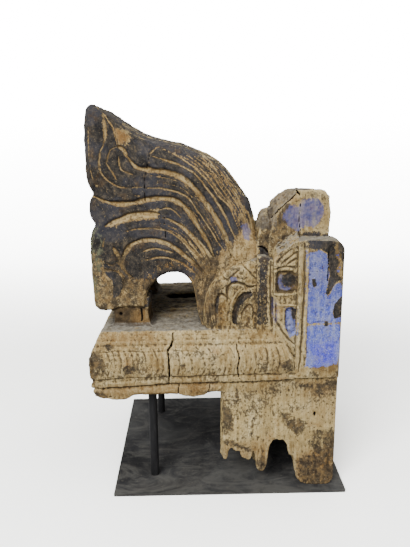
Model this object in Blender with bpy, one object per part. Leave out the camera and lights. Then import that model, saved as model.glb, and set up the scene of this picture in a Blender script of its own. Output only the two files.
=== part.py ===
"""Half of a carved and painted wooden column capital on its steel display stand.

Metres, +Z up. The carved side faces -Y, the plume's tip is at -X and the sawn face at +X.
The origin is on the floor, under the middle of the whole object.
"""

import math

import bmesh
import bpy
import numpy as np
from mathutils import Vector, noise

# Display stand
PLATE_WIDTH = 0.320
PLATE_DEPTH = 0.290
PLATE_THICK = 0.003
PLATE_CORNER = 0.002
ROD_RADIUS = 0.006
ROD_TO_PLATE_SIDE = 0.054
ROD_TO_PLATE_END = 0.049
ROD_SOCKET_DEPTH = 0.030
CLEARANCE = 0.0003

# The timber as a whole
WOOD_WIDTH = 0.332
PLATE_INSET = 0.027
SLAB_UNDERSIDE = 0.140
SLAB_TOP = 0.232
SLAB_HALF_DEPTH = 0.137
OVERLAP = 0.008

# Mouldings round the slab
FILLET_HEIGHT = 0.019
FILLET_INSET = 0.005
TORUS_BAND = 0.009
TORUS_BULGE = 0.006
UPPER_BAND = 0.018
UPPER_BAND_INSET = 0.009
SLAB_TOP_INSET = 0.020
LOWER_EDGE_RISE = 0.008
REAR_NARROWING = 0.008

# Broken stub of the column shaft
SHAFT_WIDTH = 0.157
SHAFT_INSET = 0.008
FOOT_WIDTH = 0.054
BREAK_HEIGHT = 0.050
HOLLOW_WIDTH = 0.040
HOLLOW_HEIGHT = 0.070

# Masses at the sawn end
PIER_WIDTH = 0.058
PIER_TOP = 0.353
PIER_INSET = 0.003
PANEL_WIDTH = 0.030
PANEL_STEP = 0.008
PANEL_SLOPE_DROP = 0.022
PANEL_RECESS = 0.003
SLAT_WIDTH = 0.020
SLAT_TOP = 0.334
SLAT_STEP = 0.007
CORE_HALF_DEPTH = 0.104
CORE_TOP = 0.346
TOWER_WIDTH = 0.071
TOWER_TOP = 0.414
TOWER_THICK = 0.056
TOWER_FACE_THICK = 0.018
STUMP_WIDTH = 0.024
STUMP_TOP = 0.384

# Plume: its side profile and flutes are shares of this length and height
PLUME_LENGTH = 0.220
PLUME_HEIGHT = 0.289
PLUME_HALF_DEPTH = 0.102
PLUME_INSET = 0.005
SHOULDER_RADIUS = 0.035
CROWN = 0.008
TIP_WEAR = 0.009
TIP_WEAR_REACH = 0.045
RIM_RADIUS = 0.010
CALYX_SWELL = 0.014
PROP_DEPTH = 0.038
FLUTE_RADIUS = 0.0030
CRACK_WIDTH = 0.0024

SPAN = max(WOOD_WIDTH, PLATE_INSET + PLATE_WIDTH)
WOOD_LEFT = -SPAN / 2
WOOD_RIGHT = WOOD_LEFT + WOOD_WIDTH
PLATE_MIDDLE = WOOD_LEFT + PLATE_INSET + PLATE_WIDTH / 2
ROD_X = PLATE_MIDDLE - PLATE_WIDTH / 2 + ROD_TO_PLATE_SIDE
ROD_Y = PLATE_DEPTH / 2 - ROD_TO_PLATE_END
SHAFT_LEFT = WOOD_RIGHT - SHAFT_WIDTH
SHAFT_HALF_DEPTH = SLAB_HALF_DEPTH - SHAFT_INSET
PIER_LEFT = WOOD_RIGHT - PIER_WIDTH
PIER_HALF_DEPTH = SLAB_HALF_DEPTH - PIER_INSET
PANEL_LEFT = PIER_LEFT - PANEL_WIDTH
PANEL_HALF_DEPTH = PIER_HALF_DEPTH - PANEL_STEP
SLAT_RIGHT = PANEL_LEFT
SLAT_LEFT = SLAT_RIGHT - SLAT_WIDTH
SLAT_HALF_DEPTH = PANEL_HALF_DEPTH - SLAT_STEP
TORUS_FOOT = SLAB_UNDERSIDE + FILLET_HEIGHT
PLUME_LEFT = WOOD_LEFT + PLUME_INSET
PLUME_RIGHT = PLUME_LEFT + PLUME_LENGTH

# Side profile of the plume, run by run from the tip, each with its own rim radius
PLUME_PROFILE = {
    "outer": [(0.060, 1.0), (0.106, 0.974), (0.165, 0.935), (0.215, 0.902), (0.315, 0.861),
              (0.449, 0.836), (0.560, 0.818), (0.650, 0.791), (0.735, 0.764), (0.810, 0.728),
              (0.871, 0.680), (0.965, 0.579), (0.998, 0.519), (1.022, 0.447), (1.030, 0.375)],
    "back": [(1.030, 0.375), (1.030, -0.03)],
    "foot": [(1.030, -0.03), (0.680, -0.03)],
    "arch": [(0.680, -0.03), (0.645, 0.052), (0.632, 0.114), (0.608, 0.195), (0.545, 0.250),
             (0.450, 0.248), (0.377, 0.208), (0.335, 0.159), (0.318, 0.087)],
    "hook": [(0.318, 0.087), (0.160, 0.087), (0.118, 0.073), (0.045, 0.073)],
    "lobe": [(0.045, 0.073), (0.016, 0.090), (0.007, 0.125), (0.003, 0.300), (0.006, 0.405),
             (0.036, 0.478)],
    "bulb": [(0.036, 0.478), (0.011, 0.507), (0.004, 0.545), (0.011, 0.584), (0.036, 0.616)],
    "horn": [(0.036, 0.616), (0.008, 0.660), (0.0, 0.710), (0.003, 0.850), (0.008, 0.930),
             (0.024, 0.984), (0.060, 1.0)],
}
PROFILE_RIMS = {"outer": SHOULDER_RADIUS, "arch": RIM_RADIUS * 0.6, "hook": RIM_RADIUS * 0.6,
                "lobe": RIM_RADIUS, "bulb": RIM_RADIUS * 1.6, "horn": RIM_RADIUS}

# Flutes on the plume's sides, each a Bezier from the calyx towards the tip, with its share of FLUTE_RADIUS
FLUTES = [
    ([(0.945, 0.440), (0.860, 0.680), (0.690, 0.775), (0.540, 0.806)], 0.7),
    ([(0.898, 0.405), (0.875, 0.533), (0.652, 0.782), (0.416, 0.820)], 0.7),
    ([(0.852, 0.381), (0.839, 0.536), (0.657, 0.740), (0.389, 0.779)], 0.8),
    ([(0.830, 0.356), (0.625, 0.834), (0.257, 0.675), (0.270, 0.747)], 1.3),
    ([(0.270, 0.747), (0.248, 0.806), (0.166, 0.872), (0.139, 0.775)], 1.0),
    ([(0.793, 0.329), (0.670, 0.547), (0.548, 0.623), (0.520, 0.623)], 0.7),
    ([(0.734, 0.304), (0.566, 0.775), (0.316, 0.484), (0.050, 0.606)], 1.4),
    ([(0.716, 0.256), (0.660, 0.500), (0.360, 0.620), (0.050, 0.482)], 1.3),
    ([(0.711, 0.242), (0.593, 0.336), (0.584, 0.495), (0.225, 0.450)], 0.8),
    ([(0.684, 0.242), (0.448, 0.540), (0.111, 0.384), (0.211, 0.242)], 1.2),
    ([(0.598, 0.277), (0.539, 0.318), (0.380, 0.339), (0.330, 0.315)], 0.7),
    ([(0.107, 0.985), (0.193, 0.862), (-0.060, 0.626), (0.330, 0.651)], 0.9),
    ([(0.120, 0.400), (0.070, 0.330), (0.100, 0.250), (0.190, 0.240)], 1.0),
]
FLUTE_POINTS = 9
FRONT_FLUTES_ACROSS = 4
BACK_FLUTES_ACROSS = 5


def plain_material(name, colour, roughness, metallic=0.0):
    """A Principled material of one plain colour."""
    material = bpy.data.materials.new(name)
    material.use_nodes = True
    shader = material.node_tree.nodes["Principled BSDF"]
    shader.inputs["Base Color"].default_value = (*colour, 1.0)
    shader.inputs["Roughness"].default_value = roughness
    shader.inputs["Metallic"].default_value = metallic
    material.diffuse_color = (*colour, 1.0)
    return material


def add_mesh(name, bm, collection, material=None):
    """Makes an object from a bmesh, with its faces pointing out."""
    bmesh.ops.recalc_face_normals(bm, faces=bm.faces)
    mesh = bpy.data.meshes.new(name)
    bm.to_mesh(mesh)
    bm.free()
    mesh.shade_smooth()
    mesh.set_sharp_from_angle(angle=math.radians(35))
    obj = bpy.data.objects.new(name, mesh)
    collection.objects.link(obj)
    if material:
        mesh.materials.append(material)
    return obj


def hide_tool(obj):
    """Marks an object as a shape for the Booleans only."""
    obj.hide_render = True
    obj.display_type = "WIRE"
    return obj


def box_mesh(low, high):
    """A box between two corners."""
    bm = bmesh.new()
    bmesh.ops.create_cube(bm, size=1.0)
    for v in bm.verts:
        v.co = Vector(l + (h - l) * (c + 0.5) for l, h, c in zip(low, high, v.co))
    return bm


def loft(rings):
    """A closed solid through rings of equally many points, capped at both ends."""
    bm = bmesh.new()
    made = [[bm.verts.new(p) for p in ring] for ring in rings]
    count = len(made[0])
    for lower, upper in zip(made, made[1:]):
        for i in range(count):
            j = (i + 1) % count
            bm.faces.new((lower[i], lower[j], upper[j], upper[i]))
    bm.faces.new(list(reversed(made[0])))
    bm.faces.new(made[-1])
    return bm


def smooth_run(points, step):
    """Points along a Catmull-Rom curve through the given ones, about a step apart."""
    p = np.array(points, float)
    p = np.vstack([2 * p[0] - p[1], p, 2 * p[-1] - p[-2]])
    run = []
    for a, b, c, d in zip(p, p[1:], p[2:], p[3:]):
        count = max(1, round(np.linalg.norm(c - b) / step))
        for k in range(count):
            t = k / count
            run.append(0.5 * (2 * b + (c - a) * t + (2 * a - 5 * b + 4 * c - d) * t * t
                              + (3 * b - a - 3 * c + d) * t ** 3))
    return run


def bezier(controls, count):
    """Points along one cubic Bezier curve."""
    a, b, c, d = (np.array(p, float) for p in controls)
    found = []
    for t in np.linspace(0, 1, count):
        s = 1 - t
        found.append(s ** 3 * a + 3 * s * s * t * b + 3 * s * t * t * c + t ** 3 * d)
    return found


def plume_point(share):
    """A share of the plume's length and height as x and z."""
    return np.array([PLUME_LEFT + share[0] * PLUME_LENGTH, SLAB_TOP + share[1] * PLUME_HEIGHT])


def plume_outline():
    """The plume's side outline as x and z, with the rim radius at each point."""
    points, rims = [], []
    for run, shares in PLUME_PROFILE.items():
        smooth = smooth_run([plume_point(s) for s in shares], PLUME_LENGTH * 0.052)
        points += smooth
        rims += [PROFILE_RIMS.get(run, 0.0)] * len(smooth)
    return np.array(points), np.array(rims)


def inward_normals(points):
    """The outline's inward normals, which run clockwise round it."""
    along = np.roll(points, -1, 0) - np.roll(points, 1, 0)
    along /= np.linalg.norm(along, axis=1)[:, None]
    return np.stack([along[:, 1], -along[:, 0]], 1)


def rim_drop(radius, inside):
    """How far a round rim has turned away at a distance inside its edge."""
    left = np.clip(radius - inside, 0, radius)
    return radius - np.sqrt(np.maximum(radius * radius - left * left, 0))


def ease_rims(points, rims):
    """Limits each rim near the tip and smooths the change from run to run."""
    tip = plume_point(PLUME_PROFILE["outer"][0])
    limit = RIM_RADIUS * 0.6 + 0.25 * np.linalg.norm(points - tip, axis=1)
    eased = np.minimum(rims, limit)
    for _ in range(3):
        eased = 0.5 * eased + 0.25 * (np.roll(eased, 1) + np.roll(eased, -1))
    return eased


def crown(rims):
    """How far the outline is drawn in at the sides: all of it on the broad outer curve, none on the thin rims."""
    return CROWN * np.clip(2 * rims / SHOULDER_RADIUS - 1, 0, 1)


def plume_mesh():
    """The plume from side to side, its outline drawn in round the rims, the tip worn down towards the rear."""
    points, rims = plume_outline()
    rims = ease_rims(points, rims)
    normals = inward_normals(points)
    tip = plume_point(PLUME_PROFILE["outer"][0])
    near_tip = np.exp(-((points - tip) ** 2).sum(1) / TIP_WEAR_REACH ** 2)
    turns = [0.0, 0.33, 0.66, 0.92]
    depths = [PLUME_HALF_DEPTH - SHOULDER_RADIUS * (1 - math.sin(t * math.pi / 2)) for t in turns]
    depths.append(PLUME_HALF_DEPTH)
    rings = []
    for y in [-d for d in reversed(depths)] + depths:
        over = np.clip(abs(y) - (PLUME_HALF_DEPTH - rims), 0, rims)
        inset = 0.92 * (rims - np.sqrt(np.maximum(rims * rims - over * over, 0)))
        inset += crown(rims) * (y / PLUME_HALF_DEPTH) ** 2
        ring = points + normals * inset[:, None]
        ring[:, 1] -= TIP_WEAR * (0.5 + 0.5 * y / PLUME_HALF_DEPTH) * near_tip
        rings.append([(x, y, z) for x, z in ring])
    return loft(rings)


def side_depth(x, z, outline):
    """How far from the middle plane the plume's side lies at a point."""
    points, rims = outline
    away = np.hypot(points[:, 0] - x, points[:, 1] - z) - crown(rims)
    return PLUME_HALF_DEPTH - float(np.max(rim_drop(rims, away)))


def tube(name, path, radii, collection):
    """A closed round tube along a path, as a mesh that can cut."""
    curve = bpy.data.curves.new(name, "CURVE")
    curve.dimensions = "3D"
    curve.bevel_depth = 1.0
    curve.bevel_resolution = 1
    curve.use_fill_caps = True
    spline = curve.splines.new("POLY")
    spline.points.add(len(path) - 1)
    for point, place, radius in zip(spline.points, path, radii):
        point.co = (*place, 1.0)
        point.radius = radius
    drawn = bpy.data.objects.new(name + "_line", curve)
    collection.objects.link(drawn)
    bpy.context.view_layer.update()
    mesh = bpy.data.meshes.new_from_object(drawn.evaluated_get(bpy.context.evaluated_depsgraph_get()))
    bpy.data.objects.remove(drawn)
    bm = bmesh.new()
    bm.from_mesh(mesh)
    bmesh.ops.remove_doubles(bm, verts=bm.verts, dist=0.00001)
    return hide_tool(add_mesh(name, bm, collection))


def taper(count, radius, least=0.35):
    """Radii that swell from both ends to the middle."""
    return [radius * (least + (1 - least) * math.sin(math.pi * (i + 0.5) / count) ** 0.5)
            for i in range(count)]


def add_side_flutes(cutters):
    """The flutes on the carved side of the plume, and the wide ones among them on its rear."""
    points, rims = plume_outline()
    outline = points, ease_rims(points, rims)
    for number, (shares, share) in enumerate(FLUTES):
        line = [plume_point(s) for s in bezier(shares, FLUTE_POINTS)]
        radius = FLUTE_RADIUS * share
        sides = [(-1, "front")] + [(1, "rear")] * (share >= 1.0)
        for side, name in sides:
            path = [(x, side * side_depth(x, z, outline), z) for x, z in line]
            tube(f"flute_{name}_{number}", path, taper(len(path), radius), cutters)


def add_edge_flutes(cutters):
    """Plain flutes along the plume's narrow faces: its front, towards -X, and its back."""
    front = []
    for run in ("lobe", "bulb", "horn"):
        front += smooth_run([plume_point(s) for s in PLUME_PROFILE[run]], PLUME_LENGTH * 0.136)
    for i in range(FRONT_FLUTES_ACROSS):
        y = (i - (FRONT_FLUTES_ACROSS - 1) / 2) * 1.5 * PLUME_HALF_DEPTH / FRONT_FLUTES_ACROSS
        path = [(x, y, z) for x, z in front[1:-1]]
        tube(f"flute_face_{i}", path, taper(len(path), FLUTE_RADIUS * 1.2), cutters)
    back = smooth_run([plume_point(s) for s in PLUME_PROFILE["outer"][2:]], PLUME_LENGTH * 0.136)
    for i in range(BACK_FLUTES_ACROSS):
        y = (i - (BACK_FLUTES_ACROSS - 1) / 2) * 1.3 * PLUME_HALF_DEPTH / BACK_FLUTES_ACROSS
        path = [(x, y, z) for x, z in back]
        tube(f"flute_back_{i}", path, taper(len(path), FLUTE_RADIUS * 1.1), cutters)


def slab_profile():
    """Height and inset of each level of the mouldings, from the underside up."""
    torus_low = TORUS_FOOT + TORUS_BAND
    torus_high = SLAB_TOP - UPPER_BAND
    levels = [(SLAB_UNDERSIDE, FILLET_INSET * 1.8), (SLAB_UNDERSIDE + FILLET_HEIGHT * 0.2, FILLET_INSET),
              (TORUS_FOOT - FILLET_HEIGHT * 0.05, FILLET_INSET), (TORUS_FOOT + TORUS_BAND * 0.1, TORUS_BULGE * 0.6),
              (torus_low - TORUS_BAND * 0.2, TORUS_BULGE * 0.5)]
    for k in range(6):
        t = k / 2.5 - 1
        z = torus_low + (torus_high - torus_low) * k / 5
        levels.append((z, TORUS_BULGE * (1 - math.sqrt(max(0.0, 1 - 0.9 * t * t)))))
    levels += [(torus_high + UPPER_BAND * 0.06, UPPER_BAND_INSET),
               (torus_high + UPPER_BAND * 0.40, UPPER_BAND_INSET * 1.1),
               (torus_high + UPPER_BAND * 0.45, SLAB_TOP_INSET * 0.75),
               (torus_high + UPPER_BAND * 0.78, SLAB_TOP_INSET * 0.85), (SLAB_TOP, SLAB_TOP_INSET)]
    return levels


def torus_end(z):
    """Where the mouldings stop, on a diagonal beside the panels."""
    share = min(1.0, max(0.0, (SLAB_TOP - z) / (SLAB_TOP - TORUS_FOOT) / 0.6))
    return PANEL_LEFT + PANEL_WIDTH * (0.2 + 0.73 * share)


def slab_mesh():
    """The moulded slab, lofted through its levels, its lower edges rising towards the sawn end."""
    inner = PANEL_HALF_DEPTH - PANEL_STEP
    rings = []
    for z, inset in slab_profile():
        low = (SLAB_TOP - z) / (SLAB_TOP - SLAB_UNDERSIDE)
        left = WOOD_LEFT + inset
        narrow = REAR_NARROWING / (2 * SLAB_HALF_DEPTH * WOOD_WIDTH)
        half = SLAB_HALF_DEPTH - inset
        end = torus_end(z)
        front = [(left + (end - left) * k / 9, -half) for k in range(10)]
        front += [(end + PANEL_WIDTH * 0.13, -inner), (WOOD_RIGHT, -inner)]
        side = [(left, half - 2 * half * k / 6) for k in range(1, 6)]
        plan = front + [(x, -y) for x, y in reversed(front)] + side
        ring = []
        for x, y in plan:
            rise = LOWER_EDGE_RISE * low * (x - WOOD_LEFT) / WOOD_WIDTH
            bite = noise.noise(Vector((x / WOOD_WIDTH * 15, y / SLAB_HALF_DEPTH * 6, 7.0)))
            wear = FILLET_HEIGHT * 0.16 * (0.8 < low < 0.99) * bite
            ring.append((x + narrow * (WOOD_RIGHT - x) * (y + SLAB_HALF_DEPTH), y, z + rise + wear))
        rings.append(ring)
    return loft(rings)


def break_height(x, y):
    """Height of the shaft's broken end: splinters at -X, an eroded hollow, and a foot at +X on the plate."""
    foot = PLATE_THICK + CLEARANCE
    foot_left = WOOD_RIGHT - FOOT_WIDTH
    hollow_left = foot_left - HOLLOW_WIDTH
    along = (x - SHAFT_LEFT) / SHAFT_WIDTH
    into_hollow = (x - hollow_left) / HOLLOW_WIDTH
    splinters = BREAK_HEIGHT * (1 + 0.06 * math.sin(along * 36)
                                - 0.38 * math.exp(-(((into_hollow + 0.225) / 0.162) ** 4))
                                - 0.10 * math.exp(-(((along - 0.217) / 0.032) ** 2)))
    to_hollow = min(1.0, max(0.0, into_hollow * 4))
    height = splinters + (HOLLOW_HEIGHT - splinters) * to_hollow
    to_foot = min(1.0, max(0.0, ((x - foot_left) / FOOT_WIDTH + 0.11) / 0.33))
    across = abs(y) / SHAFT_HALF_DEPTH
    foot_share = to_foot ** 0.7 * (1 - 0.4 * max(0.0, 1 - across / 0.7))
    gnaw = noise.noise(Vector((along * 9.4, y / SHAFT_HALF_DEPTH * 5.2, 3.0)))
    rot = HOLLOW_HEIGHT * (0.2 * gnaw + 0.28 * (1 - across)) * (1 - foot_share)
    return max(foot, height + (foot - height) * foot_share + rot)


def shaft_mesh():
    """The stub of the shaft, a grid at its broken end drawn down to the break."""
    bm = bmesh.new()
    along, across = 30, 12
    top = TORUS_FOOT + OVERLAP
    low = [[bm.verts.new((SHAFT_LEFT + SHAFT_WIDTH * i / along,
                          SHAFT_HALF_DEPTH * (2 * j / across - 1), 0.0))
            for j in range(across + 1)] for i in range(along + 1)]
    for column in low:
        for v in column:
            v.co.z = break_height(v.co.x, v.co.y)
            v.co.x += REAR_NARROWING * (WOOD_RIGHT - v.co.x) / SHAFT_WIDTH * (v.co.y / SHAFT_HALF_DEPTH + 1)
    for i in range(along):
        for j in range(across):
            bm.faces.new((low[i][j], low[i + 1][j], low[i + 1][j + 1], low[i][j + 1]))
    rim = ([low[i][0] for i in range(along)] + [low[along][j] for j in range(across)]
           + [low[i][across] for i in range(along, 0, -1)] + [low[0][j] for j in range(across, 0, -1)])
    upper = [bm.verts.new((v.co.x, v.co.y, top)) for v in rim]
    for i in range(len(rim)):
        j = (i + 1) % len(rim)
        bm.faces.new((rim[i], rim[j], upper[j], upper[i]))
    bm.faces.new(upper)
    return bm


def worn_box(low, high, left_drop, right_drop=0.0, steps=4):
    """A box whose top falls away in a curve towards its two ends along X."""
    rings = []
    for k in range(steps + 1):
        share = k / steps
        x = low[0] + (high[0] - low[0]) * share
        top = high[2] - left_drop * (1 - share) ** 1.6 - right_drop * max(0.0, 2 * share - 1) ** 2
        rings.append([(x, low[1], low[2]), (x, high[1], low[2]), (x, high[1], top), (x, low[1], top)])
    return loft(rings)


def add_masses(masses):
    """Every block that is joined to the slab, front and rear alike, save what has broken off at the rear."""
    hide_tool(add_mesh("shaft_stub", shaft_mesh(), masses))
    hide_tool(add_mesh("plume", plume_mesh(), masses))
    core_low = (PANEL_LEFT - PANEL_WIDTH * 0.13, -CORE_HALF_DEPTH, TORUS_FOOT)
    core = worn_box(core_low, (WOOD_RIGHT, CORE_HALF_DEPTH, CORE_TOP), PANEL_SLOPE_DROP * 0.45,
                    PANEL_SLOPE_DROP * 0.27)
    hide_tool(add_mesh("core", core, masses))
    web_half = CORE_HALF_DEPTH * 0.96
    web_low = (PLUME_RIGHT - OVERLAP, -web_half, SLAB_TOP - OVERLAP)
    web_high = (PANEL_LEFT + OVERLAP, web_half, SLAT_TOP - SLAT_WIDTH * 0.55)
    web = worn_box(web_low, web_high, SLAT_WIDTH * 0.2)
    hide_tool(add_mesh("web", web, masses))
    inner = CORE_HALF_DEPTH - OVERLAP
    for side, name in ((-1, "front"), (1, "rear")):
        def sides(inner, outer):
            return (inner * side, outer * side) if side > 0 else (outer * side, inner * side)

        y = sides(inner, PIER_HALF_DEPTH)
        foot = TORUS_FOOT + LOWER_EDGE_RISE * 0.88
        pier = worn_box((PIER_LEFT, y[0], foot), (WOOD_RIGHT, y[1], PIER_TOP), PANEL_SLOPE_DROP * 0.05,
                        PANEL_SLOPE_DROP * 0.18)
        hide_tool(add_mesh(f"pier_{name}", pier, masses))
        y = sides(inner, PANEL_HALF_DEPTH)
        panel = worn_box((PANEL_LEFT, y[0], TORUS_FOOT + TORUS_BAND * 1.1),
                         (PIER_LEFT + OVERLAP * 0.25, y[1], PIER_TOP - PANEL_SLOPE_DROP * 0.05), PANEL_SLOPE_DROP)
        hide_tool(add_mesh(f"panel_{name}", panel, masses))
        y = sides(inner, SLAT_HALF_DEPTH)
        slat = worn_box((SLAT_LEFT, y[0], SLAB_TOP - OVERLAP), (SLAT_RIGHT + OVERLAP * 0.25, y[1], SLAT_TOP),
                        0.0, SLAT_WIDTH * 0.5)
        hide_tool(add_mesh(f"slat_{name}", slat, masses))
        y = sides(PLUME_HALF_DEPTH * 0.94 - PROP_DEPTH, PLUME_HALF_DEPTH * 0.94)
        left, right = (plume_point((s, 0))[0] for s in (0.13, 0.325))
        prop = worn_box((left, y[0], SLAB_TOP - OVERLAP), (right, y[1], SLAB_TOP + PLUME_HEIGHT * 0.12), 0.0)
        hide_tool(add_mesh(f"prop_{name}", prop, masses))
        hide_tool(add_mesh(f"calyx_{name}", calyx_mesh(side), masses))
    add_tower(masses)


def calyx_mesh(side):
    """The leaf that sheathes the plume's foot on one side, swelling over the flutes."""
    shares = [(0.690, -0.042), (0.672, 0.050), (0.690, 0.150), (0.730, 0.215), (0.815, 0.262),
              (0.900, 0.275), (1.012, 0.262), (1.012, -0.042)]
    points = np.array(smooth_run([plume_point(s) for s in shares], PLUME_LENGTH * 0.036) + [plume_point(shares[-1])])
    middle = points.mean(0)
    rings = []
    for draw, swell in ((0.0, -1.4), (0.0, 0.0), (0.03, 0.65), (0.09, 0.93), (0.17, 1.0)):
        ring = points + (middle - points) * draw
        rings.append([(x, side * (PLUME_HALF_DEPTH + CALYX_SWELL * swell), z) for x, z in ring])
    return loft(rings)


def add_tower(masses):
    """The tall block above the front pier, the low stump beside it, and what is left of it at the rear."""
    front = -CORE_HALF_DEPTH
    left = PANEL_LEFT + TOWER_WIDTH * 0.014
    right = left + TOWER_WIDTH
    rise = TOWER_TOP - CORE_TOP
    low = CORE_TOP - rise * 0.44
    face = worn_box((left, front, low), (right, front + TOWER_FACE_THICK, TOWER_TOP), rise * 0.7, rise * 0.15, 8)
    hide_tool(add_mesh("tower_face", face, masses))
    block_low = (left - TOWER_WIDTH * 0.1, front + TOWER_FACE_THICK - OVERLAP, low)
    block_high = (right - TOWER_WIDTH * 0.03, front + TOWER_THICK, TOWER_TOP)
    block = worn_box(block_low, block_high, rise * 0.26, rise * 0.18, 8)
    for v in block.verts:
        v.co.x += TOWER_WIDTH * 0.085 * max(0.0, (v.co.z - CORE_TOP) / rise) * (v.co.x < left)
    hide_tool(add_mesh("tower_block", block, masses))
    stump_right = left + STUMP_WIDTH * 0.17
    stump_low = (stump_right - STUMP_WIDTH, front + STUMP_WIDTH * 0.04, CORE_TOP - rise * 0.62)
    stump = worn_box(stump_low, (stump_right, front + TOWER_THICK + OVERLAP, STUMP_TOP), STUMP_WIDTH * 0.2)
    hide_tool(add_mesh("stump", stump, masses))
    rear_high = (right - TOWER_WIDTH * 0.06, CORE_HALF_DEPTH * 0.98, CORE_TOP + rise * 0.3)
    rear_low = (left + TOWER_WIDTH * 0.085, CORE_HALF_DEPTH - TOWER_THICK, low)
    hide_tool(add_mesh("tower_remains", worn_box(rear_low, rear_high, rise * 0.15, rise * 0.18), masses))


def recess(name, low, high, corner, collection):
    """A round-cornered sunk panel."""
    bm = box_mesh(low, high)
    upright = [e for e in bm.edges if abs(e.verts[0].co.y - e.verts[1].co.y) > OVERLAP / 2]
    bmesh.ops.bevel(bm, geom=upright, offset=corner, segments=3, affect="EDGES", profile=0.5)
    return hide_tool(add_mesh(name, bm, collection))


def add_panels(cutters):
    """Two sunk panels beside each pier, and the groove that parts panels from pier."""
    left, right = PANEL_LEFT + PANEL_WIDTH * 0.17, PIER_LEFT - PANEL_WIDTH * 0.17
    rows = {"upper": (0.53, 0.72), "lower": (0.18, 0.43)}
    rise = PIER_TOP - SLAB_TOP
    groove_foot, groove_step = TORUS_FOOT + rise * 0.2, rise * 0.25
    for side, name in ((-1, "front"), (1, "rear")):
        floor, out = side * (PANEL_HALF_DEPTH - PANEL_RECESS), side * (PANEL_HALF_DEPTH + OVERLAP)
        y0, y1 = min(floor, out), max(floor, out)
        for row, (low, high) in rows.items():
            recess(f"panel_{row}_{name}", (left, y0, SLAB_TOP + rise * low), (right, y1, SLAB_TOP + rise * high),
                   PANEL_WIDTH * 0.2, cutters)
        x, y = PIER_LEFT - FLUTE_RADIUS / 3, side * PANEL_HALF_DEPTH
        path = [(x, y, groove_foot + groove_step * k) for k in range(7)]
        tube(f"groove_{name}", path, [FLUTE_RADIUS * 0.73] * len(path), cutters)


def add_cracks(cutters):
    """The drying cracks that show: one right through the mouldings, a shorter one beside it."""
    places = {"crack_main": (0.322, 0.9, 0.22), "crack_short": (0.593, 0.6, 0.09)}
    front = -SLAB_HALF_DEPTH - OVERLAP / 4
    high = SLAB_TOP + OVERLAP / 2
    for name, (share, height, depth) in places.items():
        x = WOOD_LEFT + WOOD_WIDTH * share
        low = high - (high - TORUS_FOOT) * height
        tip = front + SLAB_HALF_DEPTH * depth
        rings = []
        for k in range(6):
            z = low + (high - low) * k / 5
            middle = x + CRACK_WIDTH * 0.9 * math.sin(k * 2.1 + share * 9)
            half = CRACK_WIDTH * (0.3 + 0.7 * height * k / 5) * 0.5
            rings.append([(middle - half, front, z), (middle + half, front, z), (middle, tip, z)])
        hide_tool(add_mesh(name, loft(rings), cutters))


def add_rod_sockets(cutters):
    """The holes in the slab that the stand's rods stand in."""
    for side, name in ((-1, "front"), (1, "rear")):
        bm = bmesh.new()
        depth = ROD_SOCKET_DEPTH + OVERLAP
        radius = ROD_RADIUS + CLEARANCE
        bmesh.ops.create_cone(bm, cap_ends=True, segments=24, radius1=radius, radius2=radius, depth=depth)
        middle = SLAB_UNDERSIDE - OVERLAP + depth / 2
        bmesh.ops.translate(bm, verts=bm.verts, vec=(ROD_X, side * ROD_Y, middle))
        hide_tool(add_mesh(f"socket_{name}", bm, cutters))


def add_boolean(obj, operation, collection):
    modifier = obj.modifiers.new(operation.title(), "BOOLEAN")
    modifier.operation = operation
    modifier.operand_type = "COLLECTION"
    modifier.collection = collection
    modifier.solver = "EXACT"


def make_stand(collection, steel):
    """The steel plate and its two rods."""
    plate = box_mesh((PLATE_MIDDLE - PLATE_WIDTH / 2, -PLATE_DEPTH / 2, 0.0),
                     (PLATE_MIDDLE + PLATE_WIDTH / 2, PLATE_DEPTH / 2, PLATE_THICK))
    upright = [e for e in plate.edges if abs(e.verts[0].co.z - e.verts[1].co.z) > PLATE_THICK / 2]
    bmesh.ops.bevel(plate, geom=upright, offset=PLATE_CORNER, segments=3, affect="EDGES", profile=0.5)
    add_mesh("base_plate", plate, collection, steel)
    low = PLATE_THICK + CLEARANCE
    high = SLAB_UNDERSIDE + ROD_SOCKET_DEPTH - CLEARANCE
    for side, name in ((-1, "rod_front"), (1, "rod_rear")):
        bm = bmesh.new()
        bmesh.ops.create_cone(bm, cap_ends=True, segments=24, radius1=ROD_RADIUS, radius2=ROD_RADIUS,
                              depth=high - low)
        rod = add_mesh(name, bm, collection, steel)
        rod.location = (ROD_X, side * ROD_Y, (low + high) / 2)


def main():
    for obj in list(bpy.data.objects):
        bpy.data.objects.remove(obj)
    scene = bpy.context.scene.collection
    collections = {}
    for name in ("column_capital", "masses", "cutters"):
        collections[name] = bpy.data.collections.new(name)
        scene.children.link(collections[name])
    capital, masses, cutters = (collections[n] for n in ("column_capital", "masses", "cutters"))

    timber = plain_material("weathered_wood", (0.42, 0.31, 0.18), 0.85)
    steel = plain_material("blackened_steel", (0.035, 0.035, 0.04), 0.5, 0.7)
    add_masses(masses)
    add_side_flutes(cutters)
    add_edge_flutes(cutters)
    add_panels(cutters)
    add_cracks(cutters)
    add_rod_sockets(cutters)
    body = add_mesh("carved_capital", slab_mesh(), capital, timber)
    add_boolean(body, "UNION", masses)
    add_boolean(body, "DIFFERENCE", cutters)
    make_stand(capital, steel)


main()
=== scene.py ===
"""Look of the carved timber and its steel stand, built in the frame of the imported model.

Carving is worked out in millimetres: x from the timber's left end, y from its middle plane, z from the floor.
"""

import math

import bmesh
import bpy
import numpy as np
from mathutils import Matrix, Vector


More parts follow.
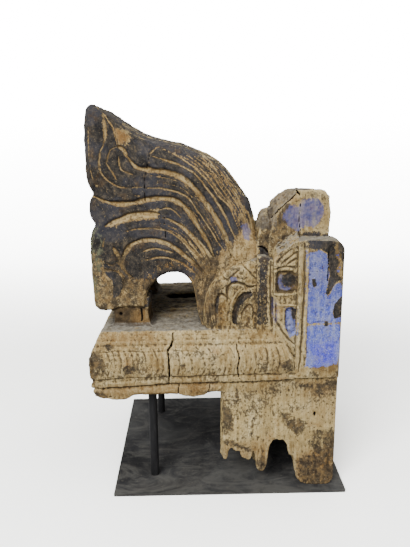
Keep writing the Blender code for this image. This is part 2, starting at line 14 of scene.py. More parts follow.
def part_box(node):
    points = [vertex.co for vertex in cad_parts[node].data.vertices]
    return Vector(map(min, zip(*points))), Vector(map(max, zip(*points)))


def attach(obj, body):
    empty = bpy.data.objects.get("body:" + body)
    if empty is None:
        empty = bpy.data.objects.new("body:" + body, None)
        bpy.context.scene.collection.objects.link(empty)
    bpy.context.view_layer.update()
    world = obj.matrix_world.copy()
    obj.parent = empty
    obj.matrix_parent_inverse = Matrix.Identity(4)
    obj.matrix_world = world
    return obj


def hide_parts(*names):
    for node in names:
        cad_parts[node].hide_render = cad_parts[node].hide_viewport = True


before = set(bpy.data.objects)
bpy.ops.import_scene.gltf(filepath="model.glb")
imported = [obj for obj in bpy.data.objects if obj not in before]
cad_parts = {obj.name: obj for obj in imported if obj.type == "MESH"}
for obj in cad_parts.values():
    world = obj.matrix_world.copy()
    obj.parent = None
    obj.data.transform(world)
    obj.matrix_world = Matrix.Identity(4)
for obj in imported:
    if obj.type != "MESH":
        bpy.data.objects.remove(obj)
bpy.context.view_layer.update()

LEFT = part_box("carved_capital")[0][0] * 1000
EYE = np.array([142.2, -867.2, 503.0])
VOXEL = 1.2
TRIANGLES = 376000
CARVED_SIDE = -0.088

# Main sizes of the slab, the stub and the plume
WIDTH, SLAB_TOP, SLAB_HALF, SHAFT_HALF, FOOT = 332, 232, 137, 129, 3.3
REAR_SHIFT, PANEL_SLOPE = 8, 14
PLUME_HALF, SHOULDER = 102.0, 35
OUTLINE_STEP, FAN_STEP, FAINT_LEFT_OF = 4.0, 3.0, 70
STUB_HOLE, PEG_HOLE = (303, 111), (42, 248)

# Camera and lights: each light's name, place, target, size and power
CAMERA_PLACE, CAMERA_TURN = (-0.0313, -0.8672, 0.503), (14.5693, 0.5196, 1.0236)
FOCAL_PIXELS, PHOTO_PIXELS = 599.0, 547.0
LIGHTS = [
    ("key", (-1.05, -2.0, 1.8), (0, 0, 0.25), 1.3, 204),
    ("fill", (1.9, -1.4, 1.2), (0, 0, 0.25), 1.8, 22),
    ("top", (0.0, 0.1, 2.6), (0, 0, 0.0), 2.2, 34)]

# Plume's side profile in shares of its length and height, and the rim radius of each run
PLUME_ORIGIN, PLUME_SIZE = (5.0, 232.0), (220.0, 289.0)
PROFILE = {
    "outer": [(0.060, 1.0), (0.106, 0.974), (0.165, 0.935), (0.215, 0.902), (0.315, 0.861),
              (0.449, 0.836), (0.560, 0.818), (0.650, 0.791), (0.735, 0.764), (0.810, 0.728),
              (0.871, 0.680), (0.965, 0.579), (0.998, 0.519), (1.022, 0.447), (1.030, 0.375)],
    "back": [(1.030, 0.375), (1.030, -0.03)],
    "foot": [(1.030, -0.03), (0.680, -0.03)],
    "arch": [(0.680, -0.03), (0.645, 0.052), (0.632, 0.114), (0.608, 0.195), (0.545, 0.250),
             (0.450, 0.248), (0.377, 0.208), (0.335, 0.159), (0.318, 0.087)],
    "hook": [(0.318, 0.087), (0.160, 0.087), (0.118, 0.073), (0.045, 0.073)],
    "lobe": [(0.045, 0.073), (0.016, 0.090), (0.007, 0.125), (0.003, 0.300), (0.006, 0.405),
             (0.036, 0.478)],
    "bulb": [(0.036, 0.478), (0.011, 0.507), (0.004, 0.545), (0.011, 0.584), (0.036, 0.616)],
    "horn": [(0.036, 0.616), (0.008, 0.660), (0.0, 0.710), (0.003, 0.850), (0.008, 0.930),
             (0.024, 0.984), (0.060, 1.0)],
}
RIMS = {"outer": 35.0, "arch": 6.0, "hook": 6.0, "lobe": 10.0, "bulb": 16.0, "horn": 9.0}

# Height and inset of each level of the slab's moulding
MOULDING = [
    (140.0, 8.0), (141.5, 5.4), (150.0, 4.6), (155.0, 5.4), (157.4, 9.0), (159.4, 8.6), (160.8, 3.8), (166.0, 2.8),
    (167.6, 3.8), (169.0, 3.6), (171.0, 2.4), (176.0, 0.9), (184.0, 0.0), (192.0, 0.2), (200.0, 1.6), (206.0, 4.0),
    (211.0, 7.2), (213.2, 9.4), (214.2, 10.2), (215.6, 9.2), (219.0, 9.8), (220.2, 12.4), (222.0, 12.2),
    (227.0, 14.2), (229.0, 15.6), (231.2, 17.4), (232.0, 20.0)]

# Heights along x of the slab's undercut and worn lower edge, and of the stub's broken end
UNDERCUT = [(0, 154), (44, 155), (80, 158), (111, 160), (166, 160.5), (214, 161), (264, 162.5), (331, 166)]
WORN_EDGE = [
    (0, 153), (3, 143), (10, 141), (33, 137), (52, 138), (58, 143), (77, 143.5), (100, 143), (120, 144),
    (137, 139.5), (152, 139.5), (160, 144.5), (168, 147), (331, 148)]
BREAK = [
    (172, 80), (173, 60), (174, 46), (182.5, 45), (185.5, 56), (190, 62), (195, 58), (198, 56), (201, 58),
    (203.5, 46), (214, 42), (217, 48), (219, 59), (221.5, 59), (223, 42), (224.5, 28), (234, 24), (238, 30),
    (240, 48), (242, 66), (247, 73), (262, 72), (267, 64), (269, 52), (276, 45), (278, 28), (281, 13), (288, 5),
    (296, 3.3), (325, 3.3), (330, 8), (334, 18)]

# Tops of the pier and the panels, and the corners of the tower and the two stumps
PIER_TOP = [(274.5, 352), (284, 353), (314, 352.5), (323, 351), (328, 348.5), (331, 344), (332, 340)]
PANEL_TOP = [(244, 325), (248, 332), (255, 337), (262, 342), (269, 347), (276, 352)]
TOWER_FACE = [
    (239, 340), (242, 362), (249, 384), (270, 402), (275, 412), (294, 413), (309, 411), (316, 405), (318, 382),
    (317, 340)]
TOWER_BACK = [
    (243, -70, 394), (254, -70, 404), (265, -70, 411), (275, -70, 408), (312, -70, 404), (315, -50, 380),
    (246, -50, 385), (262, -50, 400), (300, -50, 398), (240, -60, 340), (316, -50, 340)]
STUMP = [
    (226, -99, 352), (240, -101, 350), (246, -99, 374), (229, -97, 377), (247, -60, 379), (230, -70, 384),
    (242, -80, 388), (227, -80, 374), (226, -40, 345), (248, -40, 345), (246, -40, 372), (229, -44, 368),
    (226, -99, 300), (248, -101, 300), (226, -40, 300), (248, -40, 300)]
REAR_STUMP = [
    (248, 50, 330), (310, 50, 330), (250, 102, 330), (308, 102, 330), (254, 56, 362), (300, 60, 368),
    (262, 96, 364), (290, 98, 360), (275, 70, 372)]

# Lines that bound the fans of faint ones
CROWN_EDGE = [(104, 480), (125, 474), (150, 464), (172, 448), (190, 428), (206, 404), (216, 380), (221, 358)]
LEG_FRONT = [(146, 300), (143, 276), (146, 252), (150, 236)]
LEG_BACK = [(180, 306), (172, 286), (172, 262), (172, 236)]


def pairs(numbers):
    """A flat run of numbers as points."""
    return list(zip(numbers[::2], numbers[1::2]))


# Carved and worn lines: kind, half width, depth, then x and z of each point
WIDE, FINE, HAIR, RIDGE, CRACK, SMUDGE = "wide", "fine", "hair", "ridge", "crack", "smudge"
LINES = [
    (WIDE, 3.4, 4.2, 59, 458, 70, 444, 88, 440, 109, 437, 127, 430, 143, 416, 157, 398, 169, 380, 179, 362, 188,
        338, 191, 325),
    (WIDE, 2.4, 2.8, 49, 469, 55, 465, 59, 458),
    (FINE, 1.3, 1.6, 33, 448, 35, 455, 39, 465, 47, 469),
    (FINE, 1.6, 2.2, 91, 457, 116, 449, 141, 437, 155, 421, 166, 407, 180, 385, 189, 365, 196, 350),
    (FINE, 1.0, 1.3, 88, 460, 98, 469),
    (FINE, 1.1, 1.5, 98, 469, 116, 460, 130, 452, 144, 442, 158, 428, 175, 405, 189, 391, 195, 376, 200, 362),
    (FINE, 1.1, 1.5, 80, 417, 100, 417, 121, 412, 136, 403, 147, 387, 160, 368, 171, 349, 183, 332),
    (WIDE, 3.3, 4.4, 12, 409, 24, 403, 40, 398, 61, 398, 85, 403, 105, 404, 120, 400, 134, 388, 148, 366, 160, 345,
        168, 325),
    (WIDE, 3.0, 3.6, 28, 369, 44, 377, 60, 383, 78, 385, 98, 384),
    (FINE, 1.2, 1.5, 98, 389, 108, 391, 116, 388, 126, 378),
    (FINE, 1.3, 1.8, 98, 380, 116, 374, 132, 360, 148, 340, 160, 318, 165, 303),
    (WIDE, 2.4, 2.6, 112, 375, 128, 366, 144, 348, 158, 326, 165, 306),
    (FINE, 1.4, 1.8, 52, 361, 71, 365, 100, 364, 117, 356, 140, 336, 154, 320, 162, 302),
    (WIDE, 3.0, 3.6, 157, 302, 136, 323, 107, 345, 83, 350, 64, 346, 53, 334, 48, 322, 51, 308, 60, 299),
    (FINE, 1.4, 1.6, 75, 335, 91, 338, 114, 333),
    (FINE, 1.4, 1.6, 77, 323, 99, 327, 120, 321, 136, 311, 148, 300),
    (FINE, 1.1, 1.4, 32, 509, 34, 492, 31, 474, 26, 462, 24, 446, 29, 432, 46, 420, 63, 418, 80, 419),
    (FINE, 1.2, 1.4, 30, 513, 36, 504, 43, 493, 46, 482, 48, 471),
    (FINE, 1.5, 1.6, 33, 448, 39, 439, 45, 427),
    (FINE, 1.3, 1.5, 49, 457, 50, 444, 55, 438, 66, 434),
    (HAIR, 0.9, 0.8, 14, 500, 12, 470, 13, 440, 18, 420),
    (FINE, 1.6, 2.0, 24, 312, 32, 310, 42, 306, 49, 297, 48, 285, 42, 273),
    (HAIR, 1.4, -0.8, 22, 302, 32, 295, 34, 287, 28, 280),
    (HAIR, 1.1, 1.0, 23, 341, 25, 349, 27, 354),
    (WIDE, 2.6, 3.0, 37, 341, 42, 330, 46, 318, 50, 309),
    (HAIR, 1.2, 1.0, 27, 320, 34, 316, 40, 320, 46, 316),
    # Leg of the plume and the leaf at its foot
    (FINE, 1.3, 1.3, 163, 306, 158, 290, 160, 274, 168, 256, 170, 240),
    (FINE, 1.3, 1.3, 157, 302, 151, 284, 153, 263, 160, 240),
    (FINE, 1.1, 1.0, 150, 296, 147, 276, 149, 256, 152, 240),
    (FINE, 1.2, 1.1, 170, 303, 166, 288, 169, 276, 174, 262),
    (FINE, 1.6, 2.2, 170, 246, 169, 262, 172, 274, 178, 279, 188, 272),
    (RIDGE, 1.6, -1.2, 187, 236, 188, 256, 192, 272, 200, 284, 209, 290),
    (FINE, 1.8, 2.2, 184, 268, 185, 286, 192, 295, 204, 293, 213, 288, 223, 290),
    (WIDE, 2.8, 2.6, 216, 281, 204, 276, 197, 265, 194, 253, 194, 238),
    (FINE, 1.4, 1.4, 203, 244, 206, 256, 214, 264, 219, 256, 217, 243),
    (FINE, 1.2, 1.2, 176, 306, 183, 299, 190, 303, 200, 312),
    (FINE, 1.0, 1.0, 192, 322, 204, 318, 216, 306, 222, 300),
    # Panels
    (RIDGE, 1.8, -1.4, 246, 318, 246, 300, 246, 284, 247, 281, 259, 280, 272, 281),
    (RIDGE, 1.7, -1.5, 277, 322, 277, 290, 276, 262, 276, 236, 272, 222),
    (RIDGE, 1.3, -1.2, 248, 292, 254, 288, 262, 287, 269, 290, 272, 299),
    (RIDGE, 1.5, -1.2, 246, 268, 254, 266, 264, 266, 275, 266),
    (FINE, 1.5, 2.0, 243, 276, 243, 262, 246, 248, 254, 234, 262, 222, 272, 212),
    (FINE, 1.3, 1.6, 244, 314, 258, 318, 272, 317),
    (RIDGE, 1.6, -1.2, 258, 262, 258, 246, 261, 230, 268, 221),
    (FINE, 1.4, 1.8, 240, 330, 240, 300, 241, 262, 243, 236),
    (FINE, 1.6, 2.6, 281, 352, 282, 310, 282, 270, 281, 236, 280, 206, 278, 176),
    (HAIR, 0.8, 0.8, 288, 352, 288, 300, 287, 240, 287, 190),
    (HAIR, 1.0, 0.5, 283, 241, 296, 244, 312, 245, 331, 243),
    (FINE, 1.3, 1.4, 247, 322, 256, 333, 266, 341),
    (FINE, 1.2, 1.2, 252, 320, 262, 329, 273, 337),
    (FINE, 1.2, 1.2, 260, 320, 268, 326, 274, 329),
    (RIDGE, 1.2, -1.0, 250, 300, 252, 290, 258, 286, 266, 286, 271, 292, 272, 302),
    # Weathered lines along the slab's front and smudges on the stub
    (HAIR, 0.9, 0.9, 5, 206, 40, 208, 80, 207, 118, 208, 150, 206),
    (HAIR, 0.7, 0.6, 8, 226, 60, 227, 120, 226, 190, 227, 238, 226),
    (HAIR, 0.8, 0.8, 2, 168, 60, 171, 120, 172, 190, 173, 260, 174),
    (SMUDGE, 3.4, 0.6, 218, 74, 218, 98, 223, 111, 231, 108, 237, 92, 237, 73),
    (SMUDGE, 3.5, 0.5, 240, 152, 262, 142, 290, 140, 320, 142),
    (SMUDGE, 3.0, 0.7, 196, 156, 197, 140, 196, 130),
    (SMUDGE, 3.0, 0.6, 204, 156, 206, 142),
    # Drying cracks
    (CRACK, 1.2, 11.0, 113, 229, 112, 225, 111, 216, 105, 208, 106, 201, 107, 186, 107, 172, 107, 162),
    (CRACK, 0.9, 4.0, 196, 215, 196, 208, 199, 199, 198, 188, 197, 181, 200, 167),
    (CRACK, 0.5, 1.8, 89, 464, 86, 452, 83, 438, 80, 427, 80, 405, 81, 390),
    (CRACK, 0.36, 0.8, 105, 352, 105, 360, 104, 376, 105, 386),
    (CRACK, 0.8, 2.4, 119, 159, 118, 152, 118, 142),
    (CRACK, 0.7, 2.0, 161, 160, 158, 147, 159, 140),
    (CRACK, 1.5, 5.0, 270, 417, 273, 413, 278, 407),
    (CRACK, 0.5, 1.2, 278, 408, 279, 394, 278, 377, 280, 358),
    (CRACK, 0.9, 2.6, 274, 409, 266, 400, 257, 393, 249, 384, 243, 376),
    (CRACK, 1.6, 5.0, 227, 339, 233, 337, 239, 331),
    (CRACK, 0.7, 2.0, 312, 352, 311, 330, 312, 300),
]
CROWN_LINE, UPPER_LOCK, MIDDLE_LINE, LOWER_LOCK, ARCH_LINE, LOW_LINE = (
    pairs(LINES[n][3:]) for n in (5, 0, 6, 7, 10, 12))

# Places where the ground or the paint differs, by kind: softness, then x and z of each corner
AREAS = {
    "tan": [
        (2.4, 31, 508, 34, 500, 36, 489, 35, 480, 32, 474, 31, 484, 31, 496),
        (3.5, 29, 368, 44, 379, 60, 386, 76, 388, 98, 391, 96, 383, 95, 378, 76, 376, 60, 375, 42, 369),
        (4.5, 20, 312, 44, 310, 51, 300, 60, 298, 88, 298, 96, 290, 79, 283, 77, 262, 67, 252, 30, 250, 8, 250, 10,
            272, 19, 280, 22, 300),
        (9.0, 146, 303, 168, 322, 186, 338, 196, 352, 214, 376, 230, 372, 236, 300, 236, 224, 130, 224, 130, 262,
            130, 292)],
    "mixed": [
        (7.0, 0, 334, 18, 334, 28, 300, 26, 250, 0, 250),
        (9.0, 176, 334, 236, 334, 236, 232, 176, 232),
        (4.0, 46, 492, 62, 489, 66, 480, 58, 469, 50, 468)],
    "brown": [
        (8.0, 12, 233, 92, 233, 92, 214, 12, 214),
        (5.0, 50, 304, 96, 304, 125, 316, 150, 310, 140, 296, 96, 288, 80, 282, 58, 286),
        (10.0, 140, 300, 172, 320, 178, 240, 140, 236),
        (14.0, 286, 162, 336, 162, 336, 100, 304, 92, 288, 112),
        (6.0, 172, 72, 250, 78, 250, 26, 172, 44),
        (4.0, -2, 160, 170, 164, 170, 134, -2, 134)],
    "broken": [
        (2.0, 236, 397, 247, 409, 259, 418, 268, 417, 274, 409, 266, 400, 257, 393, 249, 384, 240, 374)],
    "orange": [
        (4.5, 45, 492, 58, 489, 64, 481, 57, 471, 50, 470, 46, 478)],
    "grey": [
        (5.0, 31, 526, 62, 506, 99, 488, 150, 474, 180, 450, 150, 466, 97, 478, 63, 490, 52, 498, 33, 512)],
    "green": [
        (4.0, 0, 368, 20, 370, 24, 350, 20, 320, 16, 300, 12, 262, 2, 250, -6, 300)],
    "black": [
        (1.6, 24, 308, 32, 309, 41, 307, 47, 297, 46, 285, 41, 275, 33, 272, 34, 286, 33, 296, 28, 301),
        (3.0, 215, 284, 204, 279, 196, 268, 192, 254, 191, 237, 197, 237, 198, 252, 202, 264, 210, 272, 219, 277),
        (1.5, 171, 276, 174, 276, 173, 264, 172, 252, 169, 254, 169, 266),
        (3.5, 255, 306, 263, 310, 271, 305, 272, 297, 267, 291, 259, 291, 254, 298),
        (2.0, 268, 262, 274, 262, 275, 250, 270, 244, 268, 252),
        (3.0, 301, 354, 318, 354, 320, 333, 326, 326, 322, 314, 330, 302, 321, 296, 313, 280, 309, 284, 312, 297,
            314, 307, 311, 322, 310, 336, 301, 342),
        (6.0, 284, 358, 306, 358, 306, 345, 296, 341, 284, 344),
        (3.0, 322, 354, 338, 354, 338, 306, 331, 308, 329, 330, 323, 342),
        (1.4, 321, 269, 325, 274, 331, 280, 334, 258, 329, 251, 322, 249, 320, 258),
        (1.4, 291, 303, 296, 304, 298, 294, 293, 292),
        (1.2, 310, 246, 314, 246, 315, 239, 310, 239),
        # Painted shade in the gap between the slat's top and the stump
        (2.5, 226, 340, 237, 338, 240, 330, 238, 324, 228, 326)],
    "umber": [
        (5.0, 78, 296, 100, 308, 125, 310, 146, 302, 160, 306, 146, 318, 125, 324, 100, 320, 80, 308),
        (9.0, 278, 44, 300, 56, 318, 60, 338, 84, 338, 0, 278, 0)],
    "streaky": [
        (5.0, 115, 374, 129, 371, 156, 347, 170, 330, 190, 345, 192, 320, 161, 292, 144, 312, 124, 348),
        (6.0, 140, 470, 150, 458, 166, 440, 172, 431, 186, 414, 200, 390, 206, 366, 222, 380, 212, 416, 190, 444,
            160, 472)],
    "violet": [
        (4.0, 202, 372, 212, 371, 217, 358, 214, 346, 206, 350),
        (1.5, 188, 302, 196, 303, 199, 297, 190, 293),
        (3.0, 249, 305, 255, 309, 263, 310, 270, 305, 272, 297, 269, 289, 262, 285, 253, 287, 248, 295),
        (3.5, 242, 278, 247, 274, 250, 258, 250, 240, 244, 244, 241, 260)],
    "speckle": [
        (4.0, 199, 256, 214, 262, 219, 250, 214, 238, 200, 238),
        (5.0, 176, 318, 200, 330, 222, 322, 222, 300, 196, 300, 180, 306),
        (2.0, 246, 279, 275, 279, 275, 268, 247, 268),
        (9.0, 172, 160, 334, 160, 334, 110, 172, 110),
        (9.0, 0, 214, 50, 214, 110, 180, 110, 166, 0, 166),
        (8.0, 120, 176, 210, 176, 210, 164, 120, 164),
        (4.0, 242, 330, 276, 350, 276, 314, 242, 300),
        (4.0, 172, 262, 190, 280, 190, 240, 172, 236),
        (6.0, 250, 360, 250, 400, 316, 410, 316, 360),
        (4.0, 14, 188, 28, 186, 30, 172, 16, 170),
        (6.0, 120, 214, 166, 216, 170, 196, 140, 194, 118, 200),
        (6.0, 210, 206, 270, 196, 276, 172, 240, 170, 206, 182),
        (3.0, 280, 183, 332, 183, 332, 167, 280, 167),
        (8.0, 240, 330, 246, 364, 280, 366, 280, 330),
        (5.0, 60, 186, 280, 192, 280, 176, 60, 170)],
    "dark": [
        (3.5, 222, 330, 238, 326, 238, 236, 222, 236)],
    "blue": [
        (3.0, 260, 263, 275, 263, 275, 228, 266, 222, 260, 236),
        (4.0, 283, 340, 290, 338, 301, 342, 309, 336, 312, 328, 325, 338, 327, 300, 332, 288, 333, 244, 330, 186,
            300, 181, 287, 184, 285, 240)],
    "sunk": [
        (1.6, 247, 286, 250, 282, 268, 282, 271, 286, 271, 308, 268, 312, 250, 312, 247, 308),
        (1.6, 259, 258, 262, 262, 270, 262, 273, 258, 273, 232, 268, 226, 262, 230, 259, 240),
        (1.4, 242, 276, 246, 274, 249, 262, 249, 246, 245, 246, 242, 258)],
    "deep": [
        (8.0, 292, 214, 328, 220, 328, 184, 300, 184)],
    "stain": [
        (9.0, 140, 330, 176, 330, 176, 232, 140, 232),
        (6.0, 236, 366, 262, 398, 272, 396, 262, 360),
        (5.0, 296, 353, 336, 353, 336, 346, 296, 346),
        (5.0, 328, 353, 338, 353, 338, 168, 329, 168),
        (5.0, 282, 395, 294, 400, 303, 397, 307, 387, 303, 375, 290, 371, 282, 381),
        (7.0, -4, 202, 10, 196, 14, 176, 8, 163, -4, 163),
        (3.0, 44, 187, 54, 192, 63, 186, 62, 178, 48, 177),
        (2.5, 72, 178, 80, 180, 84, 172, 76, 169),
        (5.0, 172, 140, 188, 136, 193, 89, 180, 79, 172, 84),
        (5.0, 256, 112, 266, 117, 274, 106, 287, 103, 292, 90, 285, 80, 276, 82, 270, 92, 259, 98),
        (8.0, 298, 86, 325, 89, 336, 80, 338, 20, 316, 45, 300, 58),
        (7.0, 280, 40, 293, 51, 313, 47, 338, 28, 334, 5, 315, 0, 288, 6),
        (4.0, 174, 68, 190, 65, 206, 59, 218, 51, 219, 60, 190, 73, 174, 76),
        (8.0, 222, 42, 232, 50, 242, 40, 240, 18, 222, 20),
        (10.0, 270, 160, 334, 160, 334, 146, 300, 142, 276, 150),
        (3.5, 18, 215, 29, 218, 36, 212, 28, 207),
        (5.0, 2, 210, 18, 204, 25, 190, 11, 184, 0, 186),
        (6.0, 224, 379, 228, 394, 241, 396, 249, 384, 244, 361, 239, 334, 226, 334),
        (5.0, 284, 354, 338, 354, 338, 328, 300, 338, 284, 334),
        (3.0, -2, 150, 18, 152, 26, 138, -2, 136),
        (3.0, 250, 190, 268, 196, 274, 180, 262, 176),
        (2.5, 120, 190, 128, 192, 130, 184, 122, 182),
        (4.0, 244, 284, 276, 284, 276, 312, 244, 312)],
    "soiled": [
        (8.0, 4, 330, 60, 330, 92, 300, 80, 250, 4, 250),
        (6.0, 238, 328, 240, 366, 282, 372, 282, 340)],
    "bare": [
        (2.4, 283, 243, 333, 245, 333, 242, 283, 240),
        (1.2, 284, 352, 287, 352, 287, 186, 284, 186)],
    "haze": [
        (6.0, 255, 379, 261, 389, 268, 397, 275, 392, 280, 398, 288, 403, 301, 402, 309, 396, 311, 384, 306, 371,
            296, 363, 287, 366, 276, 359, 264, 366)],
}


def smooth_run(points, step):
    """Points along a Catmull-Rom curve through the given ones, about a step apart."""
    p = np.array(points, float)
    p = np.vstack([2 * p[0] - p[1], p, 2 * p[-1] - p[-2]])
    run = []
    for a, b, c, d in zip(p, p[1:], p[2:], p[3:]):
        count = max(1, round(float(np.linalg.norm(c - b)) / step))
        for k in range(count):
            t = k / count
            run.append(0.5 * (2 * b + (c - a) * t + (2 * a - 5 * b + 4 * c - d) * t * t
                              + (3 * b - a - 3 * c + d) * t ** 3))
    return run


def ease(x, low, high):
    """A smooth step from 0 at low to 1 at high."""
    t = np.clip((x - low) / (high - low), 0, 1)
    return t * t * (3 - 2 * t)


def lattice(i, j, k, seed):
    """A repeatable value from 0 to 1 for each whole-number point."""
    h = (i * 374761393 + j * 668265263 + k * 1440662683 + seed * 974711) & 0x7FFFFFFF
    h = ((h ^ (h >> 13)) * 1274126177) & 0x7FFFFFFF
    h = ((h ^ (h >> 15)) * 668265263) & 0x7FFFFFFF
    return ((h ^ (h >> 16)) & 0xFFFFF) / 0xFFFFF


def noise(p, size, seed):
    """Smooth noise from -1 to 1, its grain as long as size along each axis."""
    q = p / np.array(size, float)
    base = np.floor(q).astype(np.int64)
    f = q - base
    f = f * f * (3 - 2 * f)
    total = np.zeros(len(p))
    for a in (0, 1):
        for b in (0, 1):
            for c in (0, 1):
                weight = ((f[:, 0] if a else 1 - f[:, 0]) * (f[:, 1] if b else 1 - f[:, 1])
                          * (f[:, 2] if c else 1 - f[:, 2]))
                total += weight * lattice(base[:, 0] + a, base[:, 1] + b, base[:, 2] + c, seed)
    return 2 * total - 1


def layered(p, size, seed, layers=3):
    """Noise with finer noise added to it."""
    size = np.array(size, float)
    total, weight = np.zeros(len(p)), 0.0
    for n in range(layers):
        total += noise(p, size / 2 ** n, seed + n) / 2 ** n
        weight += 1 / 2 ** n
    return total / weight


def off_segment(x, z, a, b):
    """How far each place lies from the segment between two points."""
    ab = b - a
    t = np.clip(((x - a[0]) * ab[0] + (z - a[1]) * ab[1]) / max(ab @ ab, 1e-9), 0, 1)
    return np.hypot(x - a[0] - t * ab[0], z - a[1] - t * ab[1])


class Sheet:
    """A flat drawing of the carved side, sampled by x and z."""

    step = 0.5
    origin = np.array([-15.0, -5.0])
    shape = (740, 1080)

    def __init__(self):
        self.layers = {}

    def layer(self, name):
        if name not in self.layers:
            self.layers[name] = np.zeros(self.shape)
        return self.layers[name]

    def window(self, points, reach):
        low = np.floor((points.min(0) - reach - self.origin) / self.step).astype(int)
        high = np.ceil((points.max(0) + reach - self.origin) / self.step).astype(int)
        low, high = np.maximum(low, 0), np.minimum(high, self.shape)
        x = self.origin[0] + np.arange(low[0], high[0]) * self.step
        z = self.origin[1] + np.arange(low[1], high[1]) * self.step
        return (slice(low[0], high[0]), slice(low[1], high[1])), *np.meshgrid(x, z, indexing="ij")

    def stroke(self, name, points, half, amount, shape=None, seed=None):
        """Keeps the strongest of what is there and a stroke that fades from its middle line, or clears it at 0."""
        points = np.array(points, float)
        count = len(points)
        widths = uneven(count, seed, 0.70, 1.25)
        layer = self.layer(name)
        keep = np.maximum if amount > 0 else np.minimum
        for n, (a, b) in enumerate(zip(points, points[1:])):
            box, x, z = self.window(np.array([a, b]), half * 2.2)
            end = widths[n] * min(1.0, 0.35 + 4.0 * min(n + 0.5, count - n - 1.5) / count)
            value = amount * (shape or bowl)(off_segment(x, z, a, b) / (half * end))
            layer[box] = keep(layer[box], value)

    def area(self, name, points, soft):
        """Fills an outline, soft at its edge."""
        points = np.array(points, float)
        box, x, z = self.window(points, soft * 2)
        inside = np.zeros(x.shape, bool)
        near = np.full(x.shape, 1e9)
        for a, b in zip(points, np.roll(points, -1, 0)):
            near = np.minimum(near, off_segment(x, z, a, b))
            rise = b[1] - a[1] or 1e-9
            inside ^= ((a[1] > z) != (b[1] > z)) & (x < a[0] + (z - a[1]) / rise * (b[0] - a[0]))
        layer = self.layer(name)
        layer[box] = np.maximum(layer[box], ease(np.where(inside, near, -near), -soft, soft))

    def read(self, name, x, z):
        """The layer's value at each place."""
        layer = self.layer(name)
        u = np.clip((x - self.origin[0]) / self.step, 0, self.shape[0] - 1.001)
        v = np.clip((z - self.origin[1]) / self.step, 0, self.shape[1] - 1.001)
        i, j = u.astype(int), v.astype(int)
        u, v = u - i, v - j
        return ((1 - u) * (1 - v) * layer[i, j] + u * (1 - v) * layer[i + 1, j]
                + (1 - u) * v * layer[i, j + 1] + u * v * layer[i + 1, j + 1])


def uneven(count, seed, low, high):
    """Smoothly varying values along a stroke, all 1 without a seed."""
    if seed is None:
        return np.ones(count)
    knots = np.random.default_rng(seed).uniform(low, high, count // 4 + 3)
    return np.interp(np.arange(count) / 4, np.arange(len(knots)), knots)


def wander(run, seed, reach):
    """The same run of points, drawn with a less steady hand."""
    count = len(run)
    shift = np.stack([uneven(count, seed + 1, -reach, reach), uneven(count, seed + 2, -reach, reach)], 1)
    return [p + d for p, d in zip(run, shift)]


def fan(sheet, first, last, shares, start, half, depth, tint):
    """Faint lines laid between two others."""
    count = 44
    a = [first[int(k * (len(first) - 1) / (count - 1))] for k in range(count)]
    b = [last[int(k * (len(last) - 1) / (count - 1))] for k in range(count)]
    for n, share in enumerate(shares):
        seed = int(first[0][0] * 13 + n * 7)
        run = [p + (q - p) * share for p, q in zip(a, b)][start + 2 * n:]
        run = wander(run, seed, 0.5)
        sheet.stroke("cut", run, half * 1.4, depth, None, seed)
        sheet.stroke("line", run, half, tint, None, seed + 3)


def bowl(t):
    """A round-bottomed cut across."""
    return np.clip(1 - t * t, 0, 1) ** 0.8


def wedge(t):
    """A sharp cut across."""
    return np.clip(1 - t, 0, 1)


def draw_sheet():
    """Draws every line and area of the carving."""
    sheet = Sheet()
    for kind, half, depth, *numbers in LINES:
        draw_line(sheet, kind, half, depth, pairs(numbers))
    crown, edge = smooth_run(CROWN_LINE, FAN_STEP), smooth_run(CROWN_EDGE, FAN_STEP)
    fan(sheet, crown, edge, [n / 6 for n in range(1, 6)], 4, 1.0, 1.1, 0.8)
    fan(sheet, crown, edge, [n / 6 - 0.08 for n in range(1, 6)], 12, 0.7, 0.5, 0.5)
    upper, middle, lower, arch, low = (smooth_run(run, FAN_STEP) for run in
                                       (UPPER_LOCK, MIDDLE_LINE, LOWER_LOCK, ARCH_LINE, LOW_LINE))
    fan(sheet, upper, middle, (0.35, 0.68), 4, 0.8, 0.6, 0.55)
    fan(sheet, middle, lower, (0.5,), 2, 0.8, 0.6, 0.5)
    fan(sheet, arch, low, (0.35, 0.7), 3, 0.8, 0.6, 0.55)
    leg = [smooth_run(run, FAN_STEP) for run in (LEG_FRONT, LEG_BACK)]
    fan(sheet, *leg, (0.1, 0.26, 0.42, 0.58, 0.74, 0.9), 0, 0.9, 1.2, 0.0)
    for kind, places in AREAS.items():
        for soft, *numbers in places:
            sheet.area(kind, pairs(numbers), soft)
    return sheet


def draw_line(sheet, kind, half, depth, points):
    """Draws one line into the layers that its kind belongs to."""
    run = smooth_run(points, 2.0) + [np.array(points[-1], float)]
    seed = int(points[0][0] * 31 + points[0][1])
    run = wander(run, seed, 0.3 if kind == WIDE else 0.45)
    if kind == SMUDGE:
        sheet.stroke("stain", run, half, depth, None, seed)
    elif kind == RIDGE:
        sheet.stroke("ridge", run, half, -depth, None, seed)
    elif kind == CRACK:
        rng = np.random.default_rng(int(points[0][0] * 7 + points[0][1]))
        run = [p + rng.uniform(-0.35, 0.35, 2) for p in run]
        sheet.stroke("crack", run, half, depth, wedge)
        sheet.stroke("gap", run, half * 1.05, 1.0, wedge)
    elif depth < 0:
        sheet.stroke("ridge", run, half, -depth)
        sheet.stroke("line", run, half * 0.9, 1.0)
    else:
        sheet.stroke("cut", run, half * 1.25, depth, None, seed)
        tint = 0.7 if kind == HAIR else 0.84 if kind == FINE and points[0][0] < FAINT_LEFT_OF else 1.0
        sheet.stroke("line", run, half * (1.15 if kind == WIDE else 1.05), tint, None, seed)


